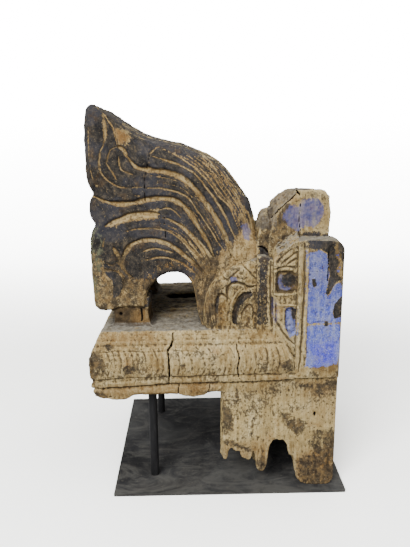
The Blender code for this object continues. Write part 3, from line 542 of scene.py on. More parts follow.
class Solids:
    """Closed masses, gathered as points and faces, that remeshing then joins."""

    def __init__(self):
        self.points, self.faces = [], []

    def add(self, points, faces):
        start = len(self.points)
        self.points += [tuple(p) for p in points]
        self.faces += [tuple(start + i for i in f) for f in faces]

    def loft(self, rings):
        count = len(rings[0])
        faces = []
        for r in range(len(rings) - 1):
            for i in range(count):
                j = (i + 1) % count
                faces.append((r * count + i, r * count + j, (r + 1) * count + j, (r + 1) * count + i))
        faces.append(tuple(reversed(range(count))))
        faces.append(tuple(range((len(rings) - 1) * count, len(rings) * count)))
        self.add([p for ring in rings for p in ring], faces)

    def hull(self, points):
        bm = bmesh.new()
        for p in points:
            bm.verts.new(p)
        done = bmesh.ops.convex_hull(bm, input=bm.verts)
        spare = [v for v in done["geom_interior"] + done["geom_unused"] if isinstance(v, bmesh.types.BMVert)]
        bmesh.ops.delete(bm, geom=list(set(spare)), context="VERTS")
        bm.verts.index_update()
        self.add([v.co[:] for v in bm.verts], [[v.index for v in f.verts] for f in bm.faces])
        bm.free()

    def slab(self, low, high, left_drop=0.0, right_drop=0.0, steps=6):
        rings = []
        for k in range(steps + 1):
            share = k / steps
            x = low[0] + (high[0] - low[0]) * share
            top = high[2] - left_drop * (1 - share) ** 1.6 - right_drop * max(0.0, 2 * share - 1) ** 2
            rings.append([(x, low[1], low[2]), (x, high[1], low[2]), (x, high[1], top), (x, low[1], top)])
        self.loft(rings)


def plume_point(share):
    return np.array(PLUME_ORIGIN) + np.array(share) * PLUME_SIZE


def plume_outline():
    """The plume's side outline, its rim radius at each point and its inward directions."""
    points, rims = [], []
    for run, shares in PROFILE.items():
        smooth = smooth_run([plume_point(s) for s in shares], OUTLINE_STEP)
        points += smooth
        rims += [RIMS.get(run, 0.0)] * len(smooth)
    points, rims = np.array(points), np.array(rims)
    tip = plume_point(PROFILE["outer"][0])
    rims = np.minimum(rims, 6.0 + 0.25 * np.linalg.norm(points - tip, axis=1))
    for _ in range(12):
        rims = 0.5 * rims + 0.25 * (np.roll(rims, 1) + np.roll(rims, -1))
    along = np.roll(points, -1, 0) - np.roll(points, 1, 0)
    along /= np.linalg.norm(along, axis=1)[:, None]
    return points, rims, np.stack([along[:, 1], -along[:, 0]], 1)


def add_plume(solids):
    """The plume as rings across its width, their edges rounded by the rims."""
    points, rims, inward = plume_outline()
    tip = plume_point(PROFILE["outer"][0])
    near_tip = np.exp(-((points - tip) ** 2).sum(1) / 45.0 ** 2)
    turns = np.linspace(0, 0.96, 9)
    sides = [PLUME_HALF - SHOULDER * (1 - math.sin(t * math.pi / 2)) for t in turns] + [PLUME_HALF]
    rings = []
    for y in [-d for d in reversed(sides)] + sides:
        over = np.clip(abs(y) - (PLUME_HALF - rims), 0, rims)
        inset = 0.92 * (rims - np.sqrt(np.maximum(rims * rims - over * over, 0)))
        inset += 8 * np.clip(2 * rims / SHOULDER - 1, 0, 1) * (y / PLUME_HALF) ** 2
        ring = points + inward * inset[:, None]
        ring[:, 1] -= 9 * (0.5 + 0.5 * y / PLUME_HALF) * near_tip
        rings.append([(x, y, z) for x, z in ring])
    solids.loft(rings)


def add_slab(solids):
    """The moulded slab, its right end cut back beside the panels."""
    rings = []
    for z, inset in MOULDING:
        share = min(1.0, max(0.0, (SLAB_TOP - z) / 73 / 0.6))
        left, half, end = inset, SLAB_HALF - inset, 250 + 22 * share
        front = [(left + (end - left) * k / 60, -half) for k in range(61)]
        front += [(end + 4, -110), (WIDTH, -110)]
        plan = front + [(x, -y) for x, y in reversed(front)]
        plan += [(left, half - 2 * half * k / 40) for k in range(1, 40)]
        ring = []
        for x, y in plan:
            own = x if y < 60 else WIDTH - 0.9 * x
            cut, worn = (np.interp(own, *zip(*line)) for line in (UNDERCUT, WORN_EDGE))
            if z < 158 and x > 174:
                y = max(-129.4, min(129.4, y))
            levels = (worn - 140, cut - 158.4, 6 * x / WIDTH, 0)
            rise = np.interp(z, (140, 158.4, 176, SLAB_TOP), levels)
            ring.append((x + REAR_SHIFT * (WIDTH - x) / WIDTH * (y + SLAB_HALF) / (2 * SLAB_HALF), y, z + rise))
        rings.append(ring)
    solids.loft(rings)


def break_height(x, y):
    """The stub's broken lower end at each place."""
    along, heights = zip(*BREAK)
    edge = np.interp(x, along, heights)
    across = np.clip(1 - np.abs(y) / SHAFT_HALF, 0, 1)
    p = np.stack([x, y, np.zeros_like(x)], 1)
    strayed = x + 9 * noise(p, (40, 26, 40), 5) * ease(across, 0.03, 0.3)
    inner = np.interp(strayed, along, heights)
    rough = 5 * layered(p, (14, 10, 9), 8) + 18 * ease(across, 0.05, 0.8) * (edge > 8)
    ragged = edge + 2.6 * layered(p, (4.5, 4, 4), 9, 2) * (edge > 5)
    return np.maximum(FOOT, np.where(across < 0.04, ragged, inner + rough))


def add_shaft(solids):
    """The broken stub of the shaft, a block with a ragged lower face."""
    nx, ny = 90, 60
    across = np.linspace(-SHAFT_HALF, SHAFT_HALF, ny)
    x, y = np.meshgrid(np.linspace(175, WIDTH, nx), across, indexing="ij")
    z = break_height(x.ravel(), y.ravel()).reshape(x.shape)
    corner = ease(np.abs(y), 118, SHAFT_HALF) * ease(-x, -182, -175)
    x = x + REAR_SHIFT * (WIDTH - x) / 157 * (y / SHAFT_HALF + 1) + 4 * corner
    points = [(a, b, c) for a, b, c in zip(x.ravel(), y.ravel(), z.ravel())]
    faces = [(i * ny + j, (i + 1) * ny + j, (i + 1) * ny + j + 1, i * ny + j + 1)
             for i in range(nx - 1) for j in range(ny - 1)]
    rim = ([i * ny for i in range(nx)] + [(nx - 1) * ny + j for j in range(1, ny)]
           + [i * ny + ny - 1 for i in range(nx - 2, -1, -1)] + [j for j in range(ny - 2, 0, -1)])
    top = [(points[i][0], points[i][1], 168.0) for i in rim]
    start = len(points)
    for n in range(len(rim)):
        m = (n + 1) % len(rim)
        faces.append((rim[n], rim[m], start + m, start + n))
    faces.append(tuple(range(start, start + len(rim))))
    solids.add(points + top, faces)


def add_calyx(solids, side):
    """The leaf that sheathes the plume's foot on one side."""
    shares = [(0.690, -0.03), (0.672, 0.050), (0.690, 0.150), (0.730, 0.215), (0.815, 0.275),
              (0.900, 0.300), (1.020, 0.300), (1.020, -0.03)]
    points = np.array(smooth_run([plume_point(s) for s in shares], 4.0) + [plume_point(shares[-1])])
    middle = points.mean(0)
    rings = []
    for draw, depth in ((0, 80), (0, 101), (0.02, 105), (0.05, 109), (0.09, 112.5), (0.15, 114.5), (0.24, 115.5)):
        ring = points + (middle - points) * draw
        ring[:, 1] = np.where(points[:, 1] < 240, points[:, 1], ring[:, 1])
        rings.append([(x, side * depth, z) for x, z in ring])
    solids.loft(rings)


def span(side, inner, outer):
    """The y range of a mass on one side of the timber, its low end first."""
    return sorted((side * inner, side * outer))


def add_masses(solids):
    """The blocks at the sawn end, the props and the broken parts above."""
    solids.slab((240, -104, 160), (WIDTH, 104, 347), 9, 5)
    solids.slab((218, -99, 224), (252, 99, 322))
    for side in (-1, 1):
        add_pier(solids, side)
        a, b = span(side, 96, 119)
        solids.slab((223.5, a, 226), (240, b, 330), 0, 5)
        a, b = span(side, 92, 121)
        solids.slab((236.5, a, 212), (243.5, b, 326), 0, 4)
        a, b = span(side, 58, 97)
        solids.loft([[(30 + 3 * t, a, z), (83 - 4 * t, a, z), (85 - 5 * t, b, z), (32 + 3 * t, b, z)]
                     for t, z in ((-0.6, 226), (0.1, 234), (0.9, 240), (1.0, 250), (0.6, 270))])
        add_calyx(solids, side)
    solids.hull([(x, y, z) for y in (-103.5, -92) for x, z in TOWER_FACE] + TOWER_BACK)
    solids.hull(STUMP)
    solids.hull(REAR_STUMP)


def add_pier(solids, side):
    """The pier at the sawn end and the sloping block of the panels beside it."""
    a, b = span(side, 96, 134)
    solids.loft([[(x, a, 166.5), (x, b, 166.5), (x, b, top), (x, a, top)] for x, top in PIER_TOP])
    a, b = span(side, 96, 126)
    rings = []
    for x, top in PANEL_TOP:
        tops = (top, top + PANEL_SLOPE) if side > 0 else (top + PANEL_SLOPE, top)
        rings.append([(x, a, 178), (x, b, 178), (x, b, tops[0]), (x, a, tops[1])])
    solids.loft(rings)


def joined(solids):
    """One skin round all the masses, evenly meshed."""
    mesh = bpy.data.meshes.new("masses")
    mesh.from_pydata(solids.points, [], solids.faces)
    bm = bmesh.new()
    bm.from_mesh(mesh)
    bmesh.ops.triangulate(bm, faces=[f for f in bm.faces if len(f.verts) > 4])
    bmesh.ops.recalc_face_normals(bm, faces=bm.faces)
    bm.to_mesh(mesh)
    bm.free()
    obj = placed("capital_timber", mesh)
    remesh = obj.modifiers.new("Join", "REMESH")
    remesh.mode = "VOXEL"
    remesh.voxel_size = VOXEL
    remesh.adaptivity = 0.0
    even = obj.modifiers.new("Soften", "SMOOTH")
    even.factor = 0.5
    even.iterations = 2
    apply_modifiers(obj)
    return obj


def apply_modifiers(obj):
    done = bpy.data.meshes.new_from_object(obj.evaluated_get(bpy.context.evaluated_depsgraph_get()))
    obj.modifiers.clear()
    obj.data = done


def placed(name, data):
    """A new object in the scene."""
    obj = bpy.data.objects.new(name, data)
    bpy.context.scene.collection.objects.link(obj)
    return obj


def values_of(items, name, width, kind=float):
    """One property of all the items as an array, a row for each."""
    values = np.empty(len(items) * width, kind)
    items.foreach_get(name, values)
    return values.reshape(-1, width)


def grid_of(mesh):
    """The mesh's points and normals as arrays."""
    return values_of(mesh.vertices, "co", 3), values_of(mesh.vertex_normals, "vector", 3)


def move_points(mesh, p):
    mesh.vertices.foreach_set("co", p.ravel())
    mesh.update()


def drawn_at(p):
    """Where each point falls on the drawing: the plume's shoulders are drawn as seen past its side."""
    plume = ease(p[:, 2], 300, 330) * (p[:, 0] < 226)
    k = 1 + plume * ((EYE[1] + PLUME_HALF) / (EYE[1] + np.clip(np.abs(p[:, 1]), 40, PLUME_HALF)) - 1)
    return EYE[0] + (p[:, 0] - EYE[0]) * k, EYE[2] + (p[:, 2] - EYE[2]) * k


def zones(p, n):
    """How far each point belongs to the plume, slab, shaft, sawn end and so on, from 0 to 1."""
    x, y, z = p.T
    leg = (z > SLAB_TOP) & (z <= 262) & (np.abs(y) < 103) & (x > 140) & (x < 175)
    plume = ease(z, 252, 262) * ease(-x, -238, -228) * (np.abs(y) < 110)
    return {
        "front": ease(np.abs(n[:, 1]), 0.15, 0.6) * (np.sign(n[:, 1]) == np.sign(y)),
        "up": ease(n[:, 2], 0.35, 0.8),
        "down": ease(-n[:, 2], 0.3, 0.8),
        "plume": np.where(leg, 1, plume),
        "slab": (z < 234) * (z > np.where(x > 170, 162, 138)) * (x < 290),
        "shaft": ease(-z, -167, -164) * (x > 170),
        "sawn": ease(x, 330.0, 331.2),
        "rear": ease(y, -20, 20),
    }


def spot(across, up, place, size):
    """A soft round mark, 1 at its middle."""
    return np.exp(-(((across - place[0]) / size[0]) ** 2 + ((up - place[1]) / size[1]) ** 2))


def slot(x, y, half):
    """The long hollow on the slab's top behind the arch, 1 at its middle."""
    along, across = (x - 123) / 26, (y - 48 - 0.1 * (x - 123)) / half
    return np.exp(-(along ** 2) ** 2) * np.exp(-(across ** 2) ** 2)


def relief(p, n, sheet):
    """How far each point moves along its normal, in millimetres."""
    where = zones(p, n)
    move = carving(p, n, sheet, where)
    weathering(p, where, move)
    move *= 1 - 0.85 * where["sawn"] * ease(n[:, 0], 0.5, 0.9)
    return move


def carving(p, n, sheet, where):
    """The drawn lines, the crust over them, and the petals and flutes, as moves along the normal."""
    x, y, z = p.T
    front, rear = where["front"], where["rear"]
    u, w = drawn_at(p)
    strength = 1 - 0.35 * rear
    cut = sheet.read("cut", u, w)
    move = -(cut - 0.2 * cut * layered(p, (9, 9, 9), 3)) * front * strength
    leaf = (x > 165) * (x < 278) * (z > 236) * (z < 330)
    move *= 1 + 0.5 * leaf
    move += sheet.read("ridge", u, w) * front * strength * (1.3 + 0.4 * noise(p, (6, 6, 6), 4))
    move -= 3.0 * sheet.read("sunk", u, w) * front
    move += 1.3 * leaf * front * layered(p, (9, 9, 12), 21, 2)
    crust = 1 - 2.4 * np.abs(layered(p, (5.5, 5.5, 7), 61, 3))
    left = ease(-x, -16, -4) * (z > 138) * (z < 233)
    move += left * 3.2 * (layered(p, (11, 16, 8), 65, 2) - 0.3)
    move += where["plume"] * (1 - front) * (z > 300) * 1.1 * layered(p, (9, 5, 9), 66, 2)
    panels = front * (x > 165) * (z > SLAB_TOP) * (z < 356)
    move += crust * (0.22 + 0.40 * (where["slab"] > 0) * front + 0.60 * panels * (x < 279) + 0.30 * where["shaft"])
    move += 0.55 * panels * (x < 279) * layered(p, (3.2, 3.2, 3.8), 67, 2)
    move -= 2.6 * sheet.read("broken", u, w) * front * (y < 0) * (1 + 0.5 * layered(p, (5, 5, 5), 63, 2))
    ledge = (where["up"] + ease(n[:, 1], -0.9, -0.2) * 0.5) * (z < 236) * (y < -100)
    move -= sheet.read("crack", u, w) * (front + ledge) * (y < 0)
    # Worn petals round the swelling of the slab
    torus = ease(z, 172, 180) * ease(-z, -213, -207) * where["slab"]
    lie = np.where(np.abs(n[:, 0]) > 0.6, y, x)
    phase = lie / 15.0 + 0.5 * ((z - 190) / 22.0) ** 2 + 0.4 * noise(p, (40, 40, 60), 31)
    petal = np.abs(np.mod(phase, 1) - 0.5) * 2
    broken = ease(layered(p, (22, 22, 16), 33), -0.35, 0.35)
    move -= torus * (1.4 * ease(petal, 0.66, 1.0) + 0.7 * ease(-petal, -0.26, 0.0)) * (0.30 + 0.70 * broken)
    # Flutes over the plume's back, its face and under its tip
    edge = where["plume"] * (1 - front) * (z > 262)
    across = np.mod(y / 34.0 + 0.5, 1.0) - 0.5
    move -= edge * ease(np.abs(n[:, 1]) * -1, -0.5, -0.1) * 2.2 * np.exp(-(across / 0.10) ** 2) * (z > 300)
    return move


def weathering(p, where, move):
    """Adds grain, pits, broken surfaces and single marks to the moves."""
    x, y, z = p.T
    front, on_slab = where["front"], where["slab"] > 0
    # Grain, which stands up the timber, and the wear of weather
    grain = layered(p, (2.6, 2.6, 60), 11, 2)
    move += grain * (0.28 + 0.15 * where["shaft"] * front + 0.3 * where["up"])
    move += 0.9 * layered(p, (26, 26, 40), 12, 3)
    rough = 0.35 + 0.6 * where["shaft"] + 0.35 * on_slab * front + 0.5 * (x > 224) * (z > 330)
    move += 0.5 * rough * layered(p, (3.6, 3.6, 5.5), 13, 2)
    pores = ease(noise(p, (3.2, 3.2, 4.6), 14), 0.62, 0.9)
    move -= pores * (0.9 * where["shaft"] + 0.8 * on_slab + 0.25 + 0.5 * (z < 320) * (x > 165) * (z > SLAB_TOP))
    # Broken surfaces of the tower, stump and stub
    fracture = ease(z, 352, 362) * (x > 224) * (1 - front * (y < -100))
    move += fracture * 2.2 * layered(p, (7, 12, 9), 15, 3)
    splinter = where["shaft"] * ease(-z, -100, -40) * (z > 5.5)
    move += splinter * 1.8 * layered(p, (4.5, 4.5, 38), 16, 2)
    # The lower edge of the slab is chewed away, and its top is lined along x by weathering
    chewed = where["slab"] * ease(-z, -150, -143) * (1 - where["up"])
    move -= chewed * (1.6 + 2.6 * layered(p, (17, 17, 30), 17, 3))
    top = where["up"] * (z > 226) * (z < 236) * (x < 232)
    move += top * ((0.7 + 1.1 * ease(y, -70, -20)) * layered(p, (60, 6, 30), 18, 3) - 0.5)
    move -= top * 7 * slot(x, y, 15) * ease(layered(p, (30, 8, 20), 19), -0.9, 0.1)
    # The round hole and the ring on the stub, the prop's rough face and its peg hole
    ring = np.exp(-((np.hypot(x - 271, z - 141) - 2.6) / 0.9) ** 2) * (y < -120)
    move -= 5 * (spot(x, z, STUB_HOLE, (1.7, 3.2)) * (y < -120)) * front
    move += 0.8 * ring * front
    prop = (x > 24) * (x < 88) * (z > 233) * (z < 258) * (np.abs(y) < 103)
    move += prop * (1.7 * layered(p, (13, 13, 9), 71, 2) - 0.8 * ease(-z, -240, -233))
    move -= 5 * (spot(x, z, PEG_HOLE, (2.4, 2.4)) * (y < -90)) * front


def keep_in(p):
    """Holds the timber inside the solids' box."""
    low, high = (np.array(c) * 1000 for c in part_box("carved_capital"))
    low, high = low - (LEFT, 0, 0), high - (LEFT, 0, 0)
    return np.clip(p, low - 0.4, high + 0.4)


class Places:
    """The points to be painted, with what the zones and the drawing say of them."""

    def __init__(self, p, n, sheet):
        self.p, self.sheet = p, sheet
        self.x, self.y, self.z = x, y, z = p.T
        self.where = where = zones(p, n)
        self.front, self.rear, self.up = where["front"], where["rear"], where["up"]
        self.near = (y < 0) * 1.0
        self.drawn = drawn_at(p)
        self.blur = layered(p, (9, 9, 14), 41)
        plume = where["plume"] * (z > 250) * ease(-x, -226, -216)
        self.plume = np.maximum(plume, (z > 245) * (z < 262) * (x < 80) * (np.abs(y) > 98))
        self.prop = (x > 26) * (x < 84) * (z > 231) * (z < 256) * (np.abs(y) < 103)
        # The slab top behind the plume's front, where painted bounce light lightens it
        self.behind = (z > 228) * (z < 236) * (x < 236) * self.up * ease(y + 8 * self.blur, -78, -62)
        self.broken_top = ease(z, 352, 366) * (x > 224)

    def read(self, name):
        return self.sheet.read(name, *self.drawn)


def dark_paint(at):
    """The blackened paint of the plume, the slat and the pier's patches, and painted shade in the gap above the
    slat.
    """
    u, w = at.drawn
    tan = np.maximum(at.read("tan") * 0.94, at.read("orange") * 0.62)
    dark = 0.94 * at.plume * (1 - 0.95 * tan) * (1 - 0.54 * at.read("mixed")) * (1 - 0.34 * at.read("umber"))
    slanted = np.stack([u * 0.8 + w * 0.6, w * 0.8 - u * 0.6, at.y], 1)
    dark *= 1 - at.read("streaky") * ease(noise(slanted, (2.2, 26, 30), 43), -0.35, 0.3) * 0.74
    dark *= 1 - np.clip(at.read("line") * 1.15, 0, 1) * ease(at.blur, -1.1, -0.35) * at.front
    dark *= 1 - 0.62 * (1 - at.front) * ease(layered(at.p, (60, 2.8, 60), 52, 3), 0.0, 0.5)
    worn = ease(layered(at.p, (5, 5, 12), 44), 0.1, 0.62)
    dark *= 1 - 0.55 * worn * (0.5 + 0.5 * at.rear)
    extra = np.maximum(at.read("dark") * 0.60 * (at.z < 334) * (np.abs(at.y) > 112), at.read("black"))
    extra *= (0.25 + 0.75 * at.near) * ease(at.front, 0.2, 0.8)
    return np.maximum(dark, extra) * (1 - ease(-at.z, -240, -SLAB_TOP))


def blue_paint(at):
    """The blue of the pier and the panels, and the faded blue of smaller patches."""
    bare = 1 - at.read("black") * at.front * at.near
    blue = at.read("blue") * (at.z > 180) * at.front * (at.x > 258) * (1 - 0.75 * at.read("bare"))
    faded = np.maximum(at.read("haze") * (at.z > 356) * (at.y < -96), 0.8 * at.read("violet"))
    return blue * bare * (1 - 0.6 * at.rear), faded * at.front * bare * (1 - 0.7 * at.rear)


def stains(at):
    """Dirt that darkens the bare wood, and a darkening towards the prop's left end."""
    p, x, z = at.p, at.x, at.z
    speck = 0.36 * np.maximum(at.read("speckle"), 1.25 * at.read("mixed") * (x > 160)) * at.front
    end = ease(-x, -14, -5) * (z > 162) * (z < 233) * ease(layered(p, (14, 14, 12), 53), -0.5, 0.1)
    patchy = ease(layered(p, (7, 7, 9), 47), -0.9, -0.1) * ease(layered(p, (15, 15, 15), 54), -0.85, -0.15)
    drawn = np.maximum(at.read("stain"), 0.80 * at.read("soiled")) * at.front * at.near * patchy
    shaft = 0.5 * ease(layered(p, (30, 30, 36), 48), 0.25, 0.6) * at.where["shaft"]
    # The prop darker towards its left end
    prop = at.prop * at.front * ease(-x, -60, -50)
    return np.maximum.reduce([drawn, 0.85 * end, shaft, prop, speck])


def greyed(at):
    """Grey of weathered and broken wood, and a grey that stands in for bounce light on the slab top behind the
    plume's front.
    """
    edge = 0.55 * np.maximum(at.read("grey") * (at.y < 0), at.broken_top * (1 - at.front * (at.x > 250)))
    crown = 0.22 * at.plume * (1 - at.front) * (at.x > 20) * ease(at.z, 380, 470)
    broken = at.read("broken") * at.near * at.front
    return np.maximum.reduce([edge, crown, broken, 0.9 * at.broken_top * (1 - at.front), 0.45 * at.behind])


def dusty(at):
    """Dust on what faces up, and along the foot of the props."""
    x, z = at.x, at.z
    level = ((z > 229.5) & (z < 236) & (x < 236)) | ((z > 349) & (x > 270))
    level = level | ((z > 322) & (z < 360) & (x > 216) & (x < 290))
    dust = at.up * np.clip(level + 0.35, 0, 1) * (1 - 0.8 * at.front) * ease(at.blur, -1.4, 0.2)
    return np.maximum(dust * (1 - 0.38 * at.behind), 0.55 * at.prop * ease(-z, -238, -234))


def shaded(at):
    """Painted shade, in brown, on undersides, the passage under the plume and the props."""
    x, z = at.x, at.z
    passage = (np.abs(at.y) < 90) * (z > SLAB_TOP) * (z < 310) * (x > 70) * (x < 235)
    under = at.where["down"] + passage * (1 - at.up)
    under = np.maximum(under, at.prop * (0.30 + 0.55 * ease(-x - 5 * at.blur, -64, -56)))
    # The painted shade is mostly lifted on the slab top behind the plume's front
    return under * (1 - 0.8 * at.behind)


def pits(at):
    """Black of cracks and holes."""
    x, y, z = at.x, at.y, at.z
    facing = at.near * at.front
    cracks = ease(at.read("gap"), 0.15, 0.6) * (facing + (z < 236) * (y < -100))
    slit = np.exp(-((x - 69 + 3.2 * noise(at.p, (9, 9, 11), 55)) / 1.4) ** 2)
    slit = slit * at.prop * ease(z, 235, 239) * (z < 258) * facing
    hollow = 0.95 * slot(x, y, 13) * (z > 215) * (z < 235)
    return np.maximum.reduce([cracks, spot(x, z, STUB_HOLE, (1.5, 3.0)) * facing,
                              spot(x, z, PEG_HOLE, (2.4, 2.4)) * facing, slit, hollow])


def paint(mesh, p, n, sheet):
    """Masks of paint, dust, stains and painted shade at each point, as three colour attributes."""
    at = Places(p, n, sheet)
    blue, faded = blue_paint(at)
    line = np.maximum(at.read("line"), 0.85 * at.read("tan")) * at.front * at.plume
    brown = np.maximum(0.45 * at.read("brown"), 0.8 * at.read("umber")) * at.front * at.near
    orange = (at.read("orange") * at.front * at.near + at.read("deep") * 0.5 * np.clip(blue, 0, 1)
              + brown + 0.7 * at.prop * ease(at.x, 50, 58))
    masks = {
        "paint": (dark_paint(at), blue, faded, line),
        "wear": (dusty(at), stains(at), pits(at), greyed(at)),
        # The third channel of tint is painted shade
        "tint": (orange, at.read("green") * at.plume, shaded(at), hollows(mesh, p, n)),
    }
    return {name: np.clip(np.stack(values, 1), 0, 1) for name, values in masks.items()}


def make_timber(sheet):
    """The whole timber as one mesh, then parted in pieces."""
    solids = Solids()
    add_slab(solids)
    add_shaft(solids)
    add_plume(solids)
    add_masses(solids)
    obj = joined(solids)
    p, n = grid_of(obj.data)
    p = keep_in(p + n * relief(p, n, sheet)[:, None])
    move_points(obj.data, p)
    weights = obj.vertex_groups.new(name="far")
    far = ease(p[:, 1], -104, -84) * 0.6 + 0.4 * ease(p[:, 1], -40, 20)
    for level in range(1, 11):
        chosen = np.nonzero(np.ceil(far * 10) == level)[0]
        weights.add([int(i) for i in chosen], level / 10, "REPLACE")
    triangles = sum(len(f.vertices) - 2 for f in obj.data.polygons)
    fewer = obj.modifiers.new("Fewer", "DECIMATE")
    fewer.ratio = min(1.0, TRIANGLES / triangles)
    fewer.vertex_group = "far"
    fewer.vertex_group_factor = 6.0
    apply_modifiers(obj)
    obj.vertex_groups.clear()
    p, n = grid_of(obj.data)
    for name, values in paint(obj.data, p, n, sheet).items():
        layer = obj.data.attributes.new(name, "FLOAT_COLOR", "POINT")
        layer.data.foreach_set("color", values.astype(np.float32).ravel())
    move_points(obj.data, (p + (LEFT, 0, 0)) * 0.001)
    obj.data.shade_smooth()
    return split(obj, n)


def hollows(mesh, p, n):
    """How deep each point lies below its surroundings, from 0 on a ridge to 1 in a hollow."""
    a, b = values_of(mesh.edges, "vertices", 2, np.int32).T
    count = np.bincount(a, minlength=len(p)) + np.bincount(b, minlength=len(p))
    soft = p.copy()
    for _ in range(10):
        total = np.stack([np.bincount(a, soft[b, k], len(p)) + np.bincount(b, soft[a, k], len(p))
                          for k in range(3)], 1)
        soft = 0.4 * soft + 0.6 * total / np.maximum(count, 1)[:, None]
    return np.clip(0.5 - 0.75 * ((p - soft) * n).sum(1), 0, 1)


def split(obj, n):
    """Parts the timber in three pieces of a handy size, with the same shading across the seams."""
    mesh = obj.data
    x, y, _ = values_of(mesh.polygons, "center", 3).T
    carved = y < CARVED_SIDE
    left = x < np.median(x[carved])
    pieces = []
    for name, keep in (("capital_plume_side", carved & left), ("capital_pier_side", carved & ~left),
                       ("capital_rear", ~carved)):
        part = mesh.copy()
        bm = bmesh.new()
        bm.from_mesh(part)
        bm.faces.ensure_lookup_table()
        own = bm.verts.layers.int.new("own")
        for v in bm.verts:
            v[own] = v.index
        bmesh.ops.delete(bm, geom=[bm.faces[i] for i in np.nonzero(~keep)[0]], context="FACES")
        bmesh.ops.triangulate(bm, faces=bm.faces)
        index = [v[own] for v in bm.verts]
        bm.verts.layers.int.remove(own)
        bm.to_mesh(part)
        bm.free()
        part.shade_smooth()
        part.normals_split_custom_set_from_vertices(n[index].tolist())
        pieces.append(placed(name, part))
    bpy.data.objects.remove(obj)
    return pieces


class Nodes:
    """Short ways to build a material's nodes."""

    def __init__(self, name):
        self.material = bpy.data.materials.new(name)
        self.material.use_nodes = True
        self.tree = self.material.node_tree
        self.shader = self.tree.nodes["Principled BSDF"]
        self.place = self.add("TexCoord").outputs["Object"]

    def link(self, value, socket):
        if isinstance(value, bpy.types.NodeSocket):
            self.tree.links.new(value, socket)
        else:
            socket.default_value = value

    def add(self, kind, **inputs):
        """A new node, its inputs set or linked by name."""
        node = self.tree.nodes.new("ShaderNode" + kind)
        for name, value in inputs.items():
            self.link(value, node.inputs[name])
        return node

    def math(self, kind, a, b):
        node = self.add("Math")
        node.operation = kind
        self.link(a, node.inputs[0])
        self.link(b, node.inputs[1])
        return node.outputs[0]

    def plus(self, a, b):
        return self.math("ADD", a, b)

    def minus(self, a, b):
        return self.math("SUBTRACT", a, b)

    def times(self, a, b):
        return self.math("MULTIPLY", a, b)

    def blend(self, *parts):
        """The sum of values, each times its share."""
        total = self.times(*parts[0])
        for part in parts[1:]:
            total = self.plus(total, self.times(*part))
        return total

    def about(self, value, reach):
        """A noise moved to lie about 0."""
        return self.times(self.minus(value, 0.5), reach)

    def axis(self, name):
        return self.add("SeparateXYZ", Vector=self.place).outputs[name]

    def noise(self, scale, detail, rough, squash=(1, 1, 1), warp=0.0):
        place = self.add("Mapping", Vector=self.place, Scale=squash).outputs[0]
        return self.add("TexNoise", Vector=place, Scale=scale, Detail=detail, Roughness=rough,
                        Distortion=warp).outputs["Fac"]

    def step(self, value, low, high):
        node = self.add("MapRange", Value=value, **{"From Min": low, "From Max": high})
        node.interpolation_type = "SMOOTHSTEP"
        return node.outputs[0]

    def broken(self, mask, low, high, *roughs):
        """A mask with its edge broken up by noises."""
        rough = mask
        for value, reach in roughs:
            rough = self.plus(rough, self.about(value, reach))
        return self.times(self.step(rough, low, high), self.step(mask, 0.04, 0.20))

    def mix(self, share, a, b):
        node = self.add("Mix")
        node.data_type = "RGBA"
        self.link(share, node.inputs["Factor"])
        self.link(a, node.inputs["A"])
        self.link(b, node.inputs["B"])
        return node.outputs["Result"]

    def tint(self, colour, mask, share, *rgb):
        """The colour, with a share of another where the mask says."""
        return self.mix(self.times(mask, share), colour, (*srgb(*rgb), 1))

    def ramp(self, value, *stops):
        """Colours along a value, each stop its place and its red, green and blue."""
        node = self.add("ValToRGB", Fac=value)
        marks = node.color_ramp.elements
        while len(marks) < len(stops):
            marks.new(0.5)
        for mark, (at, *rgb) in zip(marks, stops):
            mark.position = at
            mark.color = (*srgb(*rgb), 1.0)
        return node.outputs["Color"]

    def stored(self, name):
        """The red, green, blue and alpha of a stored attribute."""
        node = self.add("Attribute")
        node.attribute_name = name
        return [*self.add("SeparateColor", Color=node.outputs["Color"]).outputs, node.outputs["Alpha"]]

    def bump(self, height, strength, distance, below=None):
        node = self.add("Bump", Strength=strength, Distance=distance, Height=height)
        if below is not None:
            self.link(below, node.inputs["Normal"])
        return node.outputs["Normal"]

    def finish(self, colour, roughness, specular, normal=None):
        self.link(colour, self.shader.inputs["Base Color"])
        self.link(roughness, self.shader.inputs["Roughness"])
        self.link(specular, self.shader.inputs["Specular IOR Level"])
        if normal is not None:
            self.link(normal, self.shader.inputs["Normal"])
        return self.material


def srgb(r, g, b):
    """A colour as it would look on screen, as the base colour that gives it under this light."""
    return tuple(0.40 * (((c / 255 + 0.055) / 1.055) ** 2.4 if c > 10 else c / 255 / 12.92) for c in (r, g, b))


class TimberNodes(Nodes):
    """The timber's masks and noises."""

    def __init__(self):
        super().__init__("weathered_painted_timber")
        self.dark, self.blue, self.violet, self.line = self.stored("paint")
        self.dust, self.stain, self.pit, self.grey = self.stored("wear")
        # Orange, green, painted shade and the depth of hollows
        self.orange, self.green, self.under, self.hollow = self.stored("tint")
        self.broad = self.noise(20, 4, 0.6)
        self.blotch = self.noise(48, 5, 0.66)
        self.mottle = self.noise(100, 5, 0.68)
        self.streak = self.noise(150, 5, 0.66, (1, 1, 0.14))
        self.fibre = self.noise(420, 3, 0.65, (1, 1, 0.07))
        self.flake = self.noise(300, 5, 0.74, (1, 1, 0.7))
        self.speck = self.noise(640, 3, 0.7)
        self.height = self.axis("Z")
        # Recesses, where dirt gathers and painted shade is laid
        self.recess = self.times(self.step(self.hollow, 0.54, 0.86), self.minus(1.0, self.line))


